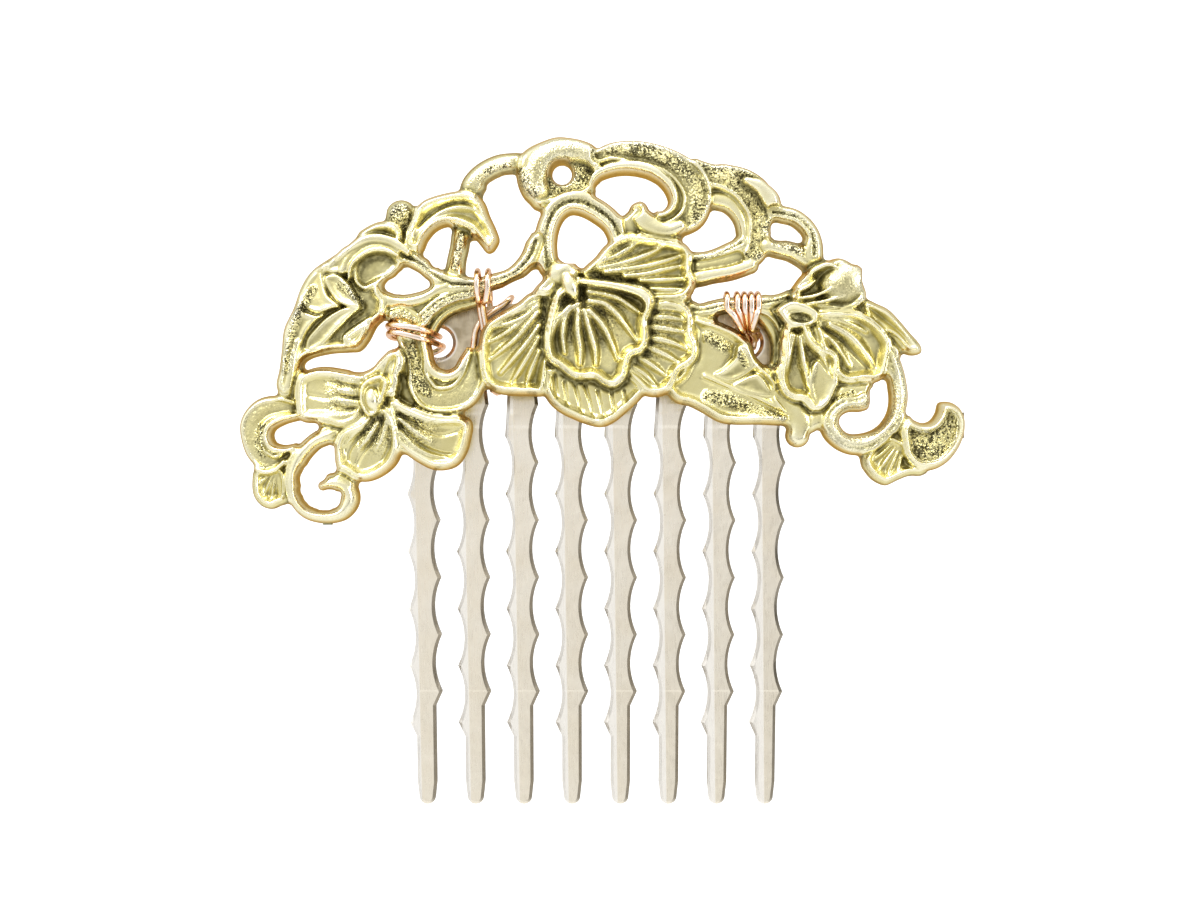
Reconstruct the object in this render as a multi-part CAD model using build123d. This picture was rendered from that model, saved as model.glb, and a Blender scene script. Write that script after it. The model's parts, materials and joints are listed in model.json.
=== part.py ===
"""Decorative hair comb, in millimetres, +Z up.

A stamped metal comb carries a cast openwork spray of flowers, leaves and scrolls. Round wire lashes the
casting to the comb: it runs over the casting's stems, down in front of the comb's plate, through a gap
between two teeth or a hole in the plate's shoulder, and up the back.

The origin is the middle of the teeth's root line, at mid-thickness of the plate. The teeth enter the hair
along -Z, -Y is the front that shows, and +Y lies against the head.
"""

import os
from math import hypot

from build123d import *

# --- The stamped comb -------------------------------------------------------------------------------------
TOOTH_COUNT = 8
TOOTH_PITCH = 5.19  # at the root line
TOOTH_LENGTH = 44.5  # from the root line to the tips
TIP_NARROWING = 0.014  # share by which the row of tips is narrower than the row of roots
TOOTH_HALF_WIDTH = 1.39  # mean, measured to the middle of the scallops
SCALLOP_DEPTH = 0.70  # from a cusp to the bottom of a hollow
SCALLOP_PITCH = 6.08  # cusp to cusp along one edge
LEFT_CUSP_Z = -5.25  # first full cusp on a tooth's left edge
RIGHT_CUSP_Z = -1.95  # first cusp on its right edge
CUSPS_A_SIDE = 6
SHANK_HALF_WIDTH = 1.05  # plain stretch between the last cusp and the tip
TIP_RADIUS = 0.88
TIP_TAPER = 1.6  # length over which the shank narrows to the tip's radius
PLATE_THICKNESS = 1.2
ROOT_OVERLAP = 1.0  # length a tooth is drawn above the root line before it is trimmed
PLATE_HEIGHT = 9.0  # root line to the middle of the top edge
SHOULDER_DROP = 1.4  # how much lower the plate's top edge is where its shoulders begin
SHOULDER_X = 15.5
SHOULDER_MIDDLE = (18.7, 6.0)  # the rounded shoulder passes through here
SHOULDER_END = (19.5, 3.4)
TOOTH_LEAN = 5.0  # degrees the teeth are bent back towards the head
LASHING_HOLES = ((-16.5, 4.5), (15.6, 4.5))  # one in each shoulder, drilled by hand
LASHING_HOLE_RADIUS = 1.55
LASHING_HOLE_BEVEL = 0.35  # bevel round each lashing hole, front and back
EDGE_CHAMFER = 0.34  # coined edge of the teeth, front and back

# --- The lashing wire -------------------------------------------------------------------------------------
WIRE_RADIUS = 0.32
WIRE_GAP = 0.03  # air between a wire and what it passes
LAYER = 2 * WIRE_RADIUS + WIRE_GAP  # one thickness of wire

# --- The casting ------------------------------------------------------------------------------------------
CASTING_GAP = 2 * LAYER + WIRE_GAP  # two layers of wire run between the plate and the casting
CASTING_BACK = -(PLATE_THICKNESS / 2 + CASTING_GAP)  # Y of the casting's flat back
HANGING_EYE = (-3.5, 21.7)
HANGING_EYE_RADIUS = 1.0
RIM_WIDTH = 0.55  # raised border of a petal
RIM_HEIGHT = 0.35
VEIN_HALF_WIDTH = 0.22
CASTING_DEPTH = 12.0  # deeper than any relief, for through cuts

# Each scroll: height above the back, then (x, z, half width) along its middle.
SCROLLS = {
    "left_outer_lobe": (1.8, [(-30.9, -2.3, 0.9), (-32.7, -2.2, 1.0), (-34.6, -2.8, 1.45), (-35.6, -4.6, 1.2),
                              (-35.1, -6.5, 1.1), (-34.2, -7.7, 1.1), (-32.6, -7.9, 1.0)]),
    "left_outer_rim": (2.3, [(-30.4, -3.3, 0.5), (-32.2, -3.7, 0.5), (-33.6, -4.5, 0.5), (-33.9, -5.5, 0.5),
                             (-33.3, -6.5, 0.5), (-32.0, -6.6, 0.55), (-30.9, -6.7, 0.6)]),
    "left_spiral": (2.2, [(-26.6, -4.8, 1.1), (-28.6, -5.6, 1.1), (-30.2, -6.9, 1.1), (-31.1, -8.5, 0.95),
                          (-31.2, -10.2, 0.85), (-30.8, -11.7, 0.85), (-29.8, -12.9, 0.8), (-28.3, -13.4, 0.75),
                          (-26.8, -13.2, 0.9), (-25.6, -12.3, 1.0), (-25.5, -11.0, 0.95), (-26.3, -10.2, 0.8),
                          (-27.3, -10.1, 0.75), (-28.1, -10.4, 0.45)]),
    "kidney_leaf": (1.7, [(-19.3, 6.9, 1.3), (-19.1, 4.6, 1.75), (-18.6, 2.0, 1.55), (-17.9, -0.2, 2.0),
                          (-15.9, -1.0, 2.0), (-13.9, 0.0, 2.0), (-12.7, 2.4, 1.3), (-12.2, 4.4, 1.0)]),
    "top_left_leaf": (2.6, [(-19.4, 14.0, 0.8), (-18.4, 15.6, 1.05), (-17.2, 17.3, 1.45), (-15.3, 18.2, 1.6),
                            (-13.4, 18.1, 1.65), (-11.9, 17.1, 1.5), (-11.1, 15.7, 1.0), (-10.9, 14.4, 0.55)]),
    "left_stem_upper": (1.9, [(-18.9, 13.3, 0.6), (-17.5, 11.6, 0.9), (-15.9, 10.6, 0.9), (-14.0, 10.2, 0.85),
                              (-12.0, 10.2, 0.85), (-10.2, 10.8, 0.8), (-8.5, 11.6, 0.75), (-6.9, 12.5, 0.9),
                              (-5.6, 13.6, 0.9)]),
    "left_stem_lower": (1.8, [(-18.9, 6.2, 0.7), (-17.4, 7.4, 0.75), (-15.6, 8.6, 0.75), (-13.6, 9.3, 0.75),
                              (-11.4, 10.0, 0.6)]),
    "left_stem_leaf": (1.9, [(-23.2, 7.0, 0.9), (-20.6, 8.2, 0.95), (-18.0, 8.9, 1.0), (-15.4, 9.8, 0.7)]),
    "left_strut": (1.5, [(-13.9, 16.6, 0.95), (-14.0, 15.0, 1.05), (-14.2, 13.4, 1.0), (-14.8, 11.6, 1.15),
                         (-15.0, 10.4, 1.2)]),
    "top_arch": (1.7, [(-12.7, 19.2, 1.2), (-12.5, 21.0, 1.1), (-11.2, 22.3, 1.1), (-9.5, 22.8, 1.1),
                       (-7.6, 22.9, 1.2)]),
    "ring_loop": (2.7, [(-4.4, 11.9, 0.95), (-4.9, 14.0, 1.1), (-4.8, 16.2, 1.1), (-3.9, 17.9, 1.15),
                        (-2.3, 18.7, 1.25), (-0.6, 18.3, 1.3), (0.9, 17.1, 1.3), (1.9, 15.6, 1.2)]),
    "crown_scroll": (2.4, [(1.1, 23.6, 1.3), (3.4, 23.6, 1.75), (5.8, 23.2, 1.85), (8.1, 21.9, 2.05),
                           (9.6, 19.8, 2.15), (9.5, 17.8, 1.9), (8.0, 16.5, 1.45), (6.1, 16.4, 1.2),
                           (4.8, 17.2, 1.0), (4.5, 18.2, 0.7)]),
    "crown_rim": (2.0, [(-0.2, 21.4, 0.7), (1.6, 22.3, 0.7), (3.8, 22.4, 0.7), (5.8, 21.8, 0.7), (7.2, 20.6, 0.65),
                        (7.6, 19.3, 0.6), (7.0, 18.2, 0.5), (6.2, 17.9, 0.4)]),
    "right_scroll": (2.2, [(12.6, 20.9, 2.0), (14.5, 20.4, 2.2), (16.4, 19.0, 2.35), (16.7, 16.7, 1.6),
                           (16.5, 14.6, 1.6), (15.5, 13.1, 1.3)]),
    "right_scroll_rim": (1.8, [(12.0, 18.3, 0.6), (13.4, 18.1, 0.65), (14.5, 17.1, 0.6), (14.9, 15.6, 0.6),
                               (14.6, 14.1, 0.6), (14.2, 13.0, 0.5)]),
    "right_stem_upper": (1.9, [(9.6, 12.8, 0.85), (11.6, 13.1, 0.85), (13.4, 13.7, 0.8), (15.0, 14.4, 0.7)]),
    "right_stem_lower": (1.8, [(9.6, 11.2, 0.85), (11.6, 11.3, 0.85), (13.6, 11.7, 0.75), (15.6, 12.1, 0.7)]),
    "right_ring": (1.7, [(18.2, 18.0, 0.8), (19.9, 17.4, 0.95), (21.3, 16.6, 1.0), (22.0, 15.4, 1.15),
                         (22.0, 14.0, 1.3)]),
    "right_ring_foot": (1.6, [(17.2, 13.9, 1.0), (19.0, 13.8, 1.25), (20.6, 13.1, 1.6), (21.8, 11.8, 1.6)]),
    "right_vine": (1.7, [(9.4, 7.6, 1.0), (11.3, 7.8, 0.85), (13.3, 8.0, 0.8), (15.3, 8.1, 0.8), (17.2, 8.0, 0.9),
                         (19.2, 8.4, 0.9), (21.0, 8.8, 0.9)]),
    "right_vine_drop": (1.6, [(16.6, 7.9, 0.7), (18.1, 7.0, 0.75), (19.1, 5.4, 0.6), (19.3, 3.2, 0.7)]),
    "right_spiral": (2.2, [(30.4, 3.4, 0.9), (31.0, 1.2, 1.0), (31.2, -1.0, 1.0), (30.8, -3.1, 1.0),
                           (29.6, -4.9, 1.1), (27.9, -6.1, 1.15), (26.0, -6.1, 1.1), (24.4, -4.9, 1.15),
                           (24.0, -3.3, 1.15), (24.9, -2.0, 1.0), (26.3, -1.7, 0.95), (27.5, -1.7, 0.85)]),
    "right_comma": (2.2, [(36.0, -2.9, 0.75), (36.5, -4.4, 1.35), (35.7, -5.9, 1.8), (34.2, -6.5, 2.15),
                          (32.7, -5.9, 1.6), (31.9, -4.5, 1.0), (31.6, -3.0, 0.6)]),
    "bottom_curl": (1.7, [(18.6, -1.2, 0.9), (20.0, -2.6, 0.95), (21.0, -4.1, 1.05), (20.8, -5.4, 1.2)]),
}

# Each petal or leaf: height, outline, then the point its veins spread from and the veins' tips.
PETALS = {
    "left_fan": (1.5, [(-35.2, -8.6), (-35.5, -10.2), (-35.2, -11.5), (-34.5, -12.4), (-33.5, -12.8),
                       (-32.3, -12.4), (-31.5, -11.9), (-31.4, -9.6), (-32.4, -8.2), (-34.0, -8.0)],
                 (-32.4, -8.4), [(-34.6, -10.6), (-34.3, -11.5), (-33.5, -12.0), (-32.7, -11.8)]),
    "left_leaf": (1.9, [(-32.9, 0.4), (-32.5, 3.5), (-32.4, 5.4), (-31.3, 7.5), (-30.5, 9.8), (-29.6, 11.5),
                        (-27.3, 13.5), (-25.3, 14.9), (-24.0, 16.1), (-21.6, 16.7), (-19.8, 16.0), (-18.7, 14.4),
                        (-19.0, 13.2), (-20.5, 12.5), (-22.2, 11.0), (-22.6, 9.6), (-22.0, 8.4), (-21.5, 6.9),
                        (-22.8, 5.6), (-23.8, 3.9), (-25.0, 3.2), (-26.2, 3.5), (-28.2, 2.6), (-29.8, 1.8),
                        (-30.5, 0.6), (-31.0, -0.9), (-31.9, -1.3), (-32.7, -0.8)],
                  (-22.8, 7.4), [(-30.6, 2.6), (-30.8, 7.6), (-28.4, 12.0), (-24.6, 14.6), (-20.6, 14.2)]),
    "back_bump": (1.1, [(-21.6, 17.2), (-21.4, 18.3), (-20.6, 19.1), (-19.7, 19.4), (-18.7, 19.0), (-17.9, 17.4),
                        (-18.6, 15.6), (-20.4, 15.4)], None, []),
    "left_flower_side": (3.0, [(-30.5, 0.4), (-29.4, 1.5), (-27.8, 1.8), (-26.0, 1.6), (-24.0, 0.8), (-22.6, -0.6),
                               (-23.4, -3.2), (-25.0, -4.2), (-26.6, -4.3), (-28.4, -3.8), (-30.1, -3.8),
                               (-30.7, -3.0), (-30.8, -1.2)],
                         (-24.0, -1.2), [(-29.0, 0.7), (-29.6, -1.2), (-28.8, -2.6)]),
    "left_flower_crest": (2.6, [(-24.3, 1.0), (-23.2, 2.0), (-22.4, 3.3), (-21.3, 4.0), (-20.2, 3.8), (-19.7, 2.4),
                                (-20.0, 0.2), (-20.6, -1.6), (-22.4, -1.4), (-23.8, 0.0)], None, []),
    "left_flower_lower": (3.1, [(-26.3, -4.4), (-26.9, -5.8), (-27.1, -7.4), (-26.8, -8.7), (-25.7, -9.3),
                                (-24.4, -10.0), (-22.9, -9.9), (-21.4, -9.1), (-20.2, -7.5), (-19.9, -5.4),
                                (-20.3, -3.6), (-21.4, -2.2), (-23.4, -2.8), (-25.0, -3.7)],
                          (-22.2, -3.2), [(-25.8, -6.4), (-25.8, -7.9), (-24.0, -8.8), (-22.2, -8.4)]),
    "left_flower_right": (2.7, [(-21.2, -2.2), (-19.4, -2.5), (-17.6, -3.1), (-15.3, -3.2), (-13.4, -3.3),
                                (-12.7, -4.6), (-13.0, -6.3), (-13.8, -8.0), (-15.3, -8.8), (-17.2, -8.6),
                                (-19.0, -7.7), (-20.4, -6.4), (-21.0, -4.4)],
                          (-20.4, -3.4), [(-14.6, -4.6), (-14.6, -6.2), (-15.6, -7.6), (-18.0, -7.2)]),
    "left_flower_heart": (3.9, [(-24.1, 0.3), (-22.8, 0.5), (-21.6, 1.0), (-21.1, -0.9), (-21.8, -2.7),
                                (-23.1, -3.4), (-24.0, -2.4)], None, []),
    "eye_disc": (2.2, [(-8.3, 21.5), (-8.1, 22.8), (-7.4, 24.0), (-6.1, 24.9), (-4.7, 25.5), (-3.2, 25.7),
                       (-1.7, 25.4), (-0.4, 24.8), (0.9, 24.2), (1.0, 22.6), (0.4, 20.6), (-0.6, 19.4),
                       (-3.0, 19.0), (-5.0, 18.0), (-6.5, 18.4), (-7.9, 19.8)], None, []),
    "flower_upper_right": (3.0, [(-1.9, 12.1), (-0.4, 13.1), (0.8, 14.3), (2.0, 15.2), (4.0, 15.7), (6.2, 15.4),
                                 (8.6, 14.8), (9.8, 13.6), (9.9, 11.9), (10.3, 10.3), (9.6, 8.9), (7.6, 8.4),
                                 (4.0, 8.6), (0.0, 9.4), (-2.0, 10.6)],
                           (-0.8, 11.4), [(4.6, 14.8), (7.0, 13.9), (9.0, 13.2), (9.0, 11.6), (8.8, 10.2)]),
    "flower_left": (3.0, [(-6.7, 9.4), (-8.2, 8.5), (-9.4, 7.7), (-10.9, 7.0), (-11.9, 5.8), (-12.1, 3.4),
                          (-12.0, 1.0), (-11.2, -0.4), (-9.8, -1.0), (-7.2, -1.2), (-5.4, -1.0), (-4.2, 0.6),
                          (-3.6, 4.0), (-3.4, 8.0), (-4.6, 9.8)],
                    (-4.3, 8.3), [(-10.6, 5.0), (-10.7, 3.6), (-10.6, 2.2), (-9.8, 0.9), (-8.2, 0.2), (-6.4, 0.4)]),
    "flower_right": (2.8, [(5.4, 9.0), (7.2, 8.9), (8.8, 8.7), (9.8, 7.6), (9.9, 6.0), (10.5, 4.4), (10.5, 2.4),
                           (9.2, 1.1), (8.3, 0.4), (7.7, -0.9), (6.2, -1.2), (4.6, -0.9), (3.2, 0.4), (2.6, 3.4),
                           (3.6, 6.6)],
                     (3.4, 5.8), [(8.8, 7.0), (9.2, 5.4), (9.4, 3.4), (7.9, 2.0), (6.6, 0.6), (5.0, 0.0)]),
    "flower_bottom": (2.6, [(-5.2, 1.6), (-5.4, -0.8), (-4.6, -2.3), (-2.6, -3.5), (-0.6, -4.2), (0.9, -4.2),
                            (2.5, -3.2), (4.0, -1.8), (4.8, -1.0), (3.6, 1.2), (0.0, 2.4), (-3.4, 2.6)],
                      (-2.4, 3.4), [(-3.2, -2.2), (-1.4, -3.2), (0.0, -3.6), (1.2, -3.3), (2.6, -2.4)]),
    "flower_lip": (4.4, [(-4.2, 9.4), (-4.9, 7.2), (-5.3, 4.6), (-5.0, 2.5), (-3.8, 1.3), (-2.2, 0.5), (-0.4, 0.5),
                         (0.8, -0.1), (2.1, -0.2), (3.3, 0.8), (3.8, 2.4), (5.1, 3.2), (5.4, 4.8), (5.4, 6.6),
                         (5.9, 8.2), (5.0, 9.7), (2.4, 10.4), (0.0, 10.7), (-2.2, 10.8)],
                   (-1.6, 8.8), [(-3.2, 3.0), (-1.8, 1.8), (-0.2, 2.2), (2.2, 2.8), (3.6, 4.7), (4.6, 7.4)]),
    "flower_hood": (4.6, [(-6.4, 9.6), (-5.2, 11.3), (-3.9, 12.2), (-2.4, 12.0), (-1.4, 10.8), (-1.8, 8.5),
                          (-3.2, 9.2), (-4.6, 9.6)], None, []),
    "bottom_leaf": (2.0, [(9.6, 7.2), (10.3, 5.0), (10.6, 2.6), (9.0, 1.0), (7.9, -0.6), (8.6, -1.8), (10.6, -2.5),
                          (12.6, -3.6), (15.2, -4.1), (18.2, -4.1), (20.2, -3.8), (20.1, -1.8), (19.6, 0.4),
                          (18.6, 1.4), (17.2, 2.3), (16.3, 3.7), (15.5, 4.8), (14.0, 5.7), (12.5, 6.7),
                          (11.0, 7.5)],
                    (20.0, -3.3), [(11.3, 0.9), (12.6, 5.4), (15.6, 3.6)]),
    "right_flower_top": (2.9, [(20.1, 9.8), (20.9, 11.0), (22.2, 12.3), (24.0, 12.8), (25.5, 13.0), (26.8, 12.0),
                               (27.6, 10.4), (27.9, 9.0), (26.8, 8.0), (24.0, 7.0), (21.4, 7.2)],
                         (20.6, 8.8), [(22.8, 11.6), (25.0, 10.6), (25.6, 9.4)]),
    "right_flower_side": (3.0, [(22.0, 7.4), (23.8, 7.7), (26.4, 7.6), (28.6, 6.6), (30.0, 4.9), (30.2, 3.0),
                                (29.8, 1.2), (28.6, 0.5), (26.8, 0.3), (25.0, 0.2), (23.6, 1.4), (22.4, 4.0)],
                          (22.8, 6.6), [(27.9, 5.6), (29.2, 4.0), (28.4, 1.6), (26.2, 1.1)]),
    "right_flower_lower": (3.3, [(19.0, 6.6), (18.7, 4.4), (18.5, 2.0), (18.6, -0.1), (19.7, -1.4), (21.2, -1.8),
                                 (22.2, -2.6), (23.4, -2.5), (24.3, -1.2), (24.9, 0.8), (25.1, 2.4), (24.4, 3.7),
                                 (23.0, 4.3), (22.3, 5.8), (21.0, 6.8)],
                           (20.6, 5.6), [(20.3, 0.2), (21.9, 0.0), (22.9, -1.2), (23.6, 1.0)]),
    "right_flower_heart": (4.0, [(18.5, 7.7), (19.8, 8.3), (21.4, 8.2), (22.7, 7.6), (22.3, 6.3), (20.9, 6.0),
                                 (19.8, 6.5)], None, []),
    "right_leaf": (1.8, [(26.8, 8.9), (28.6, 8.5), (30.2, 7.8), (31.8, 6.3), (33.4, 4.3), (33.5, 3.1), (32.3, 2.7),
                         (30.8, 3.2), (28.4, 4.8), (26.6, 7.0)],
                   (28.0, 7.8), [(31.0, 5.6), (33.0, 3.8)]),
    "right_fan": (1.5, [(27.5, -7.4), (27.8, -9.0), (28.9, -10.0), (30.1, -10.3), (31.5, -9.6), (33.0, -9.3),
                        (34.0, -8.6), (32.6, -7.0), (31.0, -5.6), (29.0, -6.0)],
                  (30.6, -6.4), [(28.6, -8.6), (29.4, -9.5), (30.3, -9.6)]),
}

TUCK_SHARE = 0.3  # share of a turn's way sideways, from stem to comb, done where it meets the plate
END_LENGTH = 2.5  # length of the free end against the plate's back

# Each lashing turn: x where it crosses the stem, then x, z and layer where it goes through the comb.
UPPER_LEFT_TURNS = [(-12.15, -10.73, -0.4, 0), (-11.3, -10.05, -0.4, 0)]
RIGHT_TURNS = [(13.45, 15.49, 4.75, 0), (14.4, 15.72, 4.03, 1), (15.2, 16.1, 5.19, 0), (15.95, 16.48, 4.03, 1),
               (16.65, 16.71, 4.75, 0)]
WIRE_CORNER = 0.5

# Each lashing: the stem's height above the casting's back, the z of the stem's top and bottom edges, the z at
# which the wire comes over the plate's top edge, and the z at which it meets the plate's front.
UPPER_LEFT_STEM = {"stem_height": 1.9, "stem_top": 11.35, "stem_bottom": 8.75, "plate_top": 8.8, "tuck_z": 7.9}
RIGHT_STEM = {"stem_height": 1.7, "stem_top": 8.95, "stem_bottom": 7.2, "plate_top": 8.4, "tuck_z": 6.5}
LOWER_STEM_HEIGHT = 1.75
LOWER_STEM_LEFT = -21.3  # x at which the wire turns round the lower left stem
LOWER_STEM_RIGHT = -17.0
LOWER_STEM_SLOPE = 0.5  # drop of a turn across the stem
LOWER_LEFT_TURNS = [(5.9, -16.4, 5.05), (5.1, -15.85, 4.15)]  # z on the stem, x and z in the plate's left hole
LOWER_LEFT_ENDS = [(-18.6, 6.2), (-18.5, 3.2)]
INNER_PLATE_TOP = (-9.2, 9.0)  # where the inner wire goes over the plate's top edge
INNER_BEND = (-12.4, 5.4)
INNER_GAP = (-15.55, -0.4)  # in the first gap between teeth
INNER_ENDS = [(-14.4, 1.6), (-16.1, 1.6)]


def tooth_axis(root_x, z):
    """Middle of a tooth at height z: the row closes up slightly towards the tips."""
    return root_x * (1 - TIP_NARROWING * -min(0.0, z) / TOOTH_LENGTH)


def scalloped_edge(root_x, side, first_cusp):
    """Points down one edge of a tooth, alternately on a cusp and at the bottom of the hollow after it."""
    points = []
    for i in range(CUSPS_A_SIDE):
        cusp_z = first_cusp - i * SCALLOP_PITCH
        hollow_z = cusp_z - SCALLOP_PITCH / 2
        cusp = TOOTH_HALF_WIDTH + SCALLOP_DEPTH / 2
        hollow = TOOTH_HALF_WIDTH - SCALLOP_DEPTH / 2
        points.append((tooth_axis(root_x, cusp_z) + side * cusp, cusp_z))
        points.append((tooth_axis(root_x, hollow_z) + side * hollow, hollow_z))
    return points[:-1]


def tooth_edge_lines(root_x, side, first_cusp):
    """One edge of a tooth, from above the root line to the start of its rounded tip."""
    points = scalloped_edge(root_x, side, first_cusp)
    shank_z = points[-1][1] - SCALLOP_PITCH / 4
    tip_z = -TOOTH_LENGTH + TIP_RADIUS
    shank = (tooth_axis(root_x, shank_z) + side * SHANK_HALF_WIDTH, shank_z)
    taper = (tooth_axis(root_x, tip_z) + side * SHANK_HALF_WIDTH, tip_z + TIP_TAPER)
    tip = (tooth_axis(root_x, tip_z) + side * TIP_RADIUS, tip_z)
    lines = [Line((root_x + side * TOOTH_HALF_WIDTH, ROOT_OVERLAP), points[0])]
    for i in range(0, len(points) - 2, 2):
        lines.append(ThreePointArc(points[i], points[i + 1], points[i + 2]))
    lines.append(Line(points[-1], shank))
    lines.append(Line(shank, taper))
    lines.append(Line(taper, tip))
    return lines, tip


def tooth_outline(root_x):
    """Flat outline of one tooth, seen from the front, as a face."""
    left, left_tip = tooth_edge_lines(root_x, -1, LEFT_CUSP_Z)
    right, right_tip = tooth_edge_lines(root_x, 1, RIGHT_CUSP_Z)
    bottom = ThreePointArc(left_tip, (tooth_axis(root_x, -TOOTH_LENGTH), -TOOTH_LENGTH), right_tip)
    top = Line(left[0] @ 0, right[0] @ 0)
    return make_face(left + right + [bottom, top])


def plate_outline():
    """The plate above the root line: an arched top edge and rounded shoulders."""
    end_x = TOOTH_PITCH * (TOOTH_COUNT - 1) / 2 + TOOTH_HALF_WIDTH
    crown_end_z = PLATE_HEIGHT - SHOULDER_DROP
    middle_x, middle_z = SHOULDER_MIDDLE
    low_x, low_z = SHOULDER_END
    return make_face([
        ThreePointArc((-SHOULDER_X, crown_end_z), (0, PLATE_HEIGHT), (SHOULDER_X, crown_end_z)),
        ThreePointArc((SHOULDER_X, crown_end_z), SHOULDER_MIDDLE, SHOULDER_END),
        ThreePointArc((-SHOULDER_X, crown_end_z), (-middle_x, middle_z), (-low_x, low_z)),
        Line(SHOULDER_END, (end_x, 0)),
        Line((-low_x, low_z), (-end_x, 0)),
        Line((-end_x, 0), (end_x, 0)),
    ])


def coined_tooth(root_x):
    """One tooth with its long front and back edges broken, bent back and cut off level at the root line."""
    tooth = Plane.XZ * extrude(tooth_outline(root_x), PLATE_THICKNESS / 2, both=True)
    edges = []
    for edge in tooth.edges():
        across = abs((edge @ 0).Y - (edge @ 1).Y) > WIRE_GAP
        at_root = (edge @ 0.5).Z > 0.9 * ROOT_OVERLAP
        if not across and not at_root:
            edges.append(edge)
    tooth = chamfer(edges, EDGE_CHAMFER)
    leaning = Rot(X=TOOTH_LEAN) * tooth
    below_root = Pos(root_x, 0, -TOOTH_LENGTH) * Box(2 * TOOTH_PITCH, TOOTH_LENGTH, 2 * TOOTH_LENGTH)
    return leaning & below_root


def comb_blank():
    """The stamped comb, one piece: the plate with a lashing hole in each shoulder, and its teeth."""
    blank = Plane.XZ * extrude(plate_outline(), PLATE_THICKNESS / 2, both=True)
    for i in range(TOOTH_COUNT):
        blank = blank + coined_tooth((i - (TOOTH_COUNT - 1) / 2) * TOOTH_PITCH)
    for hole_x, hole_z in LASHING_HOLES:
        hole = Cylinder(LASHING_HOLE_RADIUS, 2 * PLATE_THICKNESS, rotation=(90, 0, 0))
        wide = LASHING_HOLE_RADIUS + 2 * LASHING_HOLE_BEVEL
        bevel = Cone(LASHING_HOLE_RADIUS, wide, 2 * LASHING_HOLE_BEVEL)
        front_bevel = Pos(0, -PLATE_THICKNESS / 2, 0) * (Rot(X=90) * bevel)
        back_bevel = Pos(0, PLATE_THICKNESS / 2, 0) * (Rot(X=-90) * bevel)
        blank = blank - Pos(hole_x, 0, hole_z) * (hole + front_bevel + back_bevel)
    return blank


def raised(face, height):
    """A flat-backed relief of the given outline, standing forward from the casting's back."""
    return Pos(0, CASTING_BACK, 0) * (Plane.XZ * extrude(face, height))


def stroke_face(points):
    """Outline of a scroll: smooth sides at the given half widths from its middle line, round ends."""
    left = []
    right = []
    last = len(points) - 1
    for i, (x, z, half) in enumerate(points):
        before = points[max(i - 1, 0)]
        after = points[min(i + 1, last)]
        run_x = after[0] - before[0]
        run_z = after[1] - before[1]
        run = hypot(run_x, run_z)
        left.append((x - run_z / run * half, z + run_x / run * half))
        right.append((x + run_z / run * half, z - run_x / run * half))
    ends = []
    for i, neighbour in ((0, 1), (last, last - 1)):
        x, z, half = points[i]
        run_x = x - points[neighbour][0]
        run_z = z - points[neighbour][1]
        run = hypot(run_x, run_z)
        ends.append(ThreePointArc(left[i], (x + run_x / run * half, z + run_z / run * half), right[i]))
    return make_face([Spline(*left), Spline(*right)] + ends)


def petal(height, outline, vein_root, vein_tips):
    """A petal or leaf: a raised border round a sunken field, with a rib to each vein's tip."""
    solid = raised(make_face(Spline(*outline, periodic=True)), height)
    if vein_root is None:
        return solid
    centre_x = sum(x for x, z in outline) / len(outline)
    centre_z = sum(z for x, z in outline) / len(outline)
    field = []
    for x, z in outline:
        reach = hypot(x - centre_x, z - centre_z)
        share = 1 - RIM_WIDTH / reach
        field.append((centre_x + (x - centre_x) * share, centre_z + (z - centre_z) * share))
    pocket = raised(make_face(Spline(*field, periodic=True)), RIM_HEIGHT + 1)
    solid = solid - Pos(0, -(height - RIM_HEIGHT), 0) * pocket
    for tip_x, tip_z in vein_tips:
        rib = [(*vein_root, VEIN_HALF_WIDTH), (tip_x, tip_z, VEIN_HALF_WIDTH)]
        solid = solid + raised(stroke_face(rib), height)
    return solid


def ornament_casting():
    """The openwork spray, one casting, with a clean round hanging eye."""
    reliefs = []
    for height, points in SCROLLS.values():
        reliefs.append(raised(stroke_face(points), height))
    for height, outline, vein_root, vein_tips in PETALS.values():
        reliefs.append(petal(height, outline, vein_root, vein_tips))
    casting = reliefs[0] + reliefs[1:]
    eye_x, eye_z = HANGING_EYE
    eye = Cylinder(HANGING_EYE_RADIUS, CASTING_DEPTH, rotation=(90, 0, 0))
    return casting - Pos(eye_x, CASTING_BACK, eye_z) * eye


def wire_along(points):
    """Round wire bent round a corner at every point."""
    path = FilletPolyline(*points, radius=WIRE_CORNER)
    start = Plane(origin=path @ 0, z_dir=path % 0)
    return sweep(start * Circle(WIRE_RADIUS), path=path)


def in_layer(side, layer):
    """Y of a wire lying on the plate's front (side -1) or back (side 1), in the first or second layer."""
    return side * (PLATE_THICKNESS / 2 + WIRE_GAP + WIRE_RADIUS + layer * LAYER)


def over_casting(stem_height):
    """Y of a wire lying on a stem of the casting."""
    return CASTING_BACK - stem_height - WIRE_GAP - WIRE_RADIUS


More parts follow.
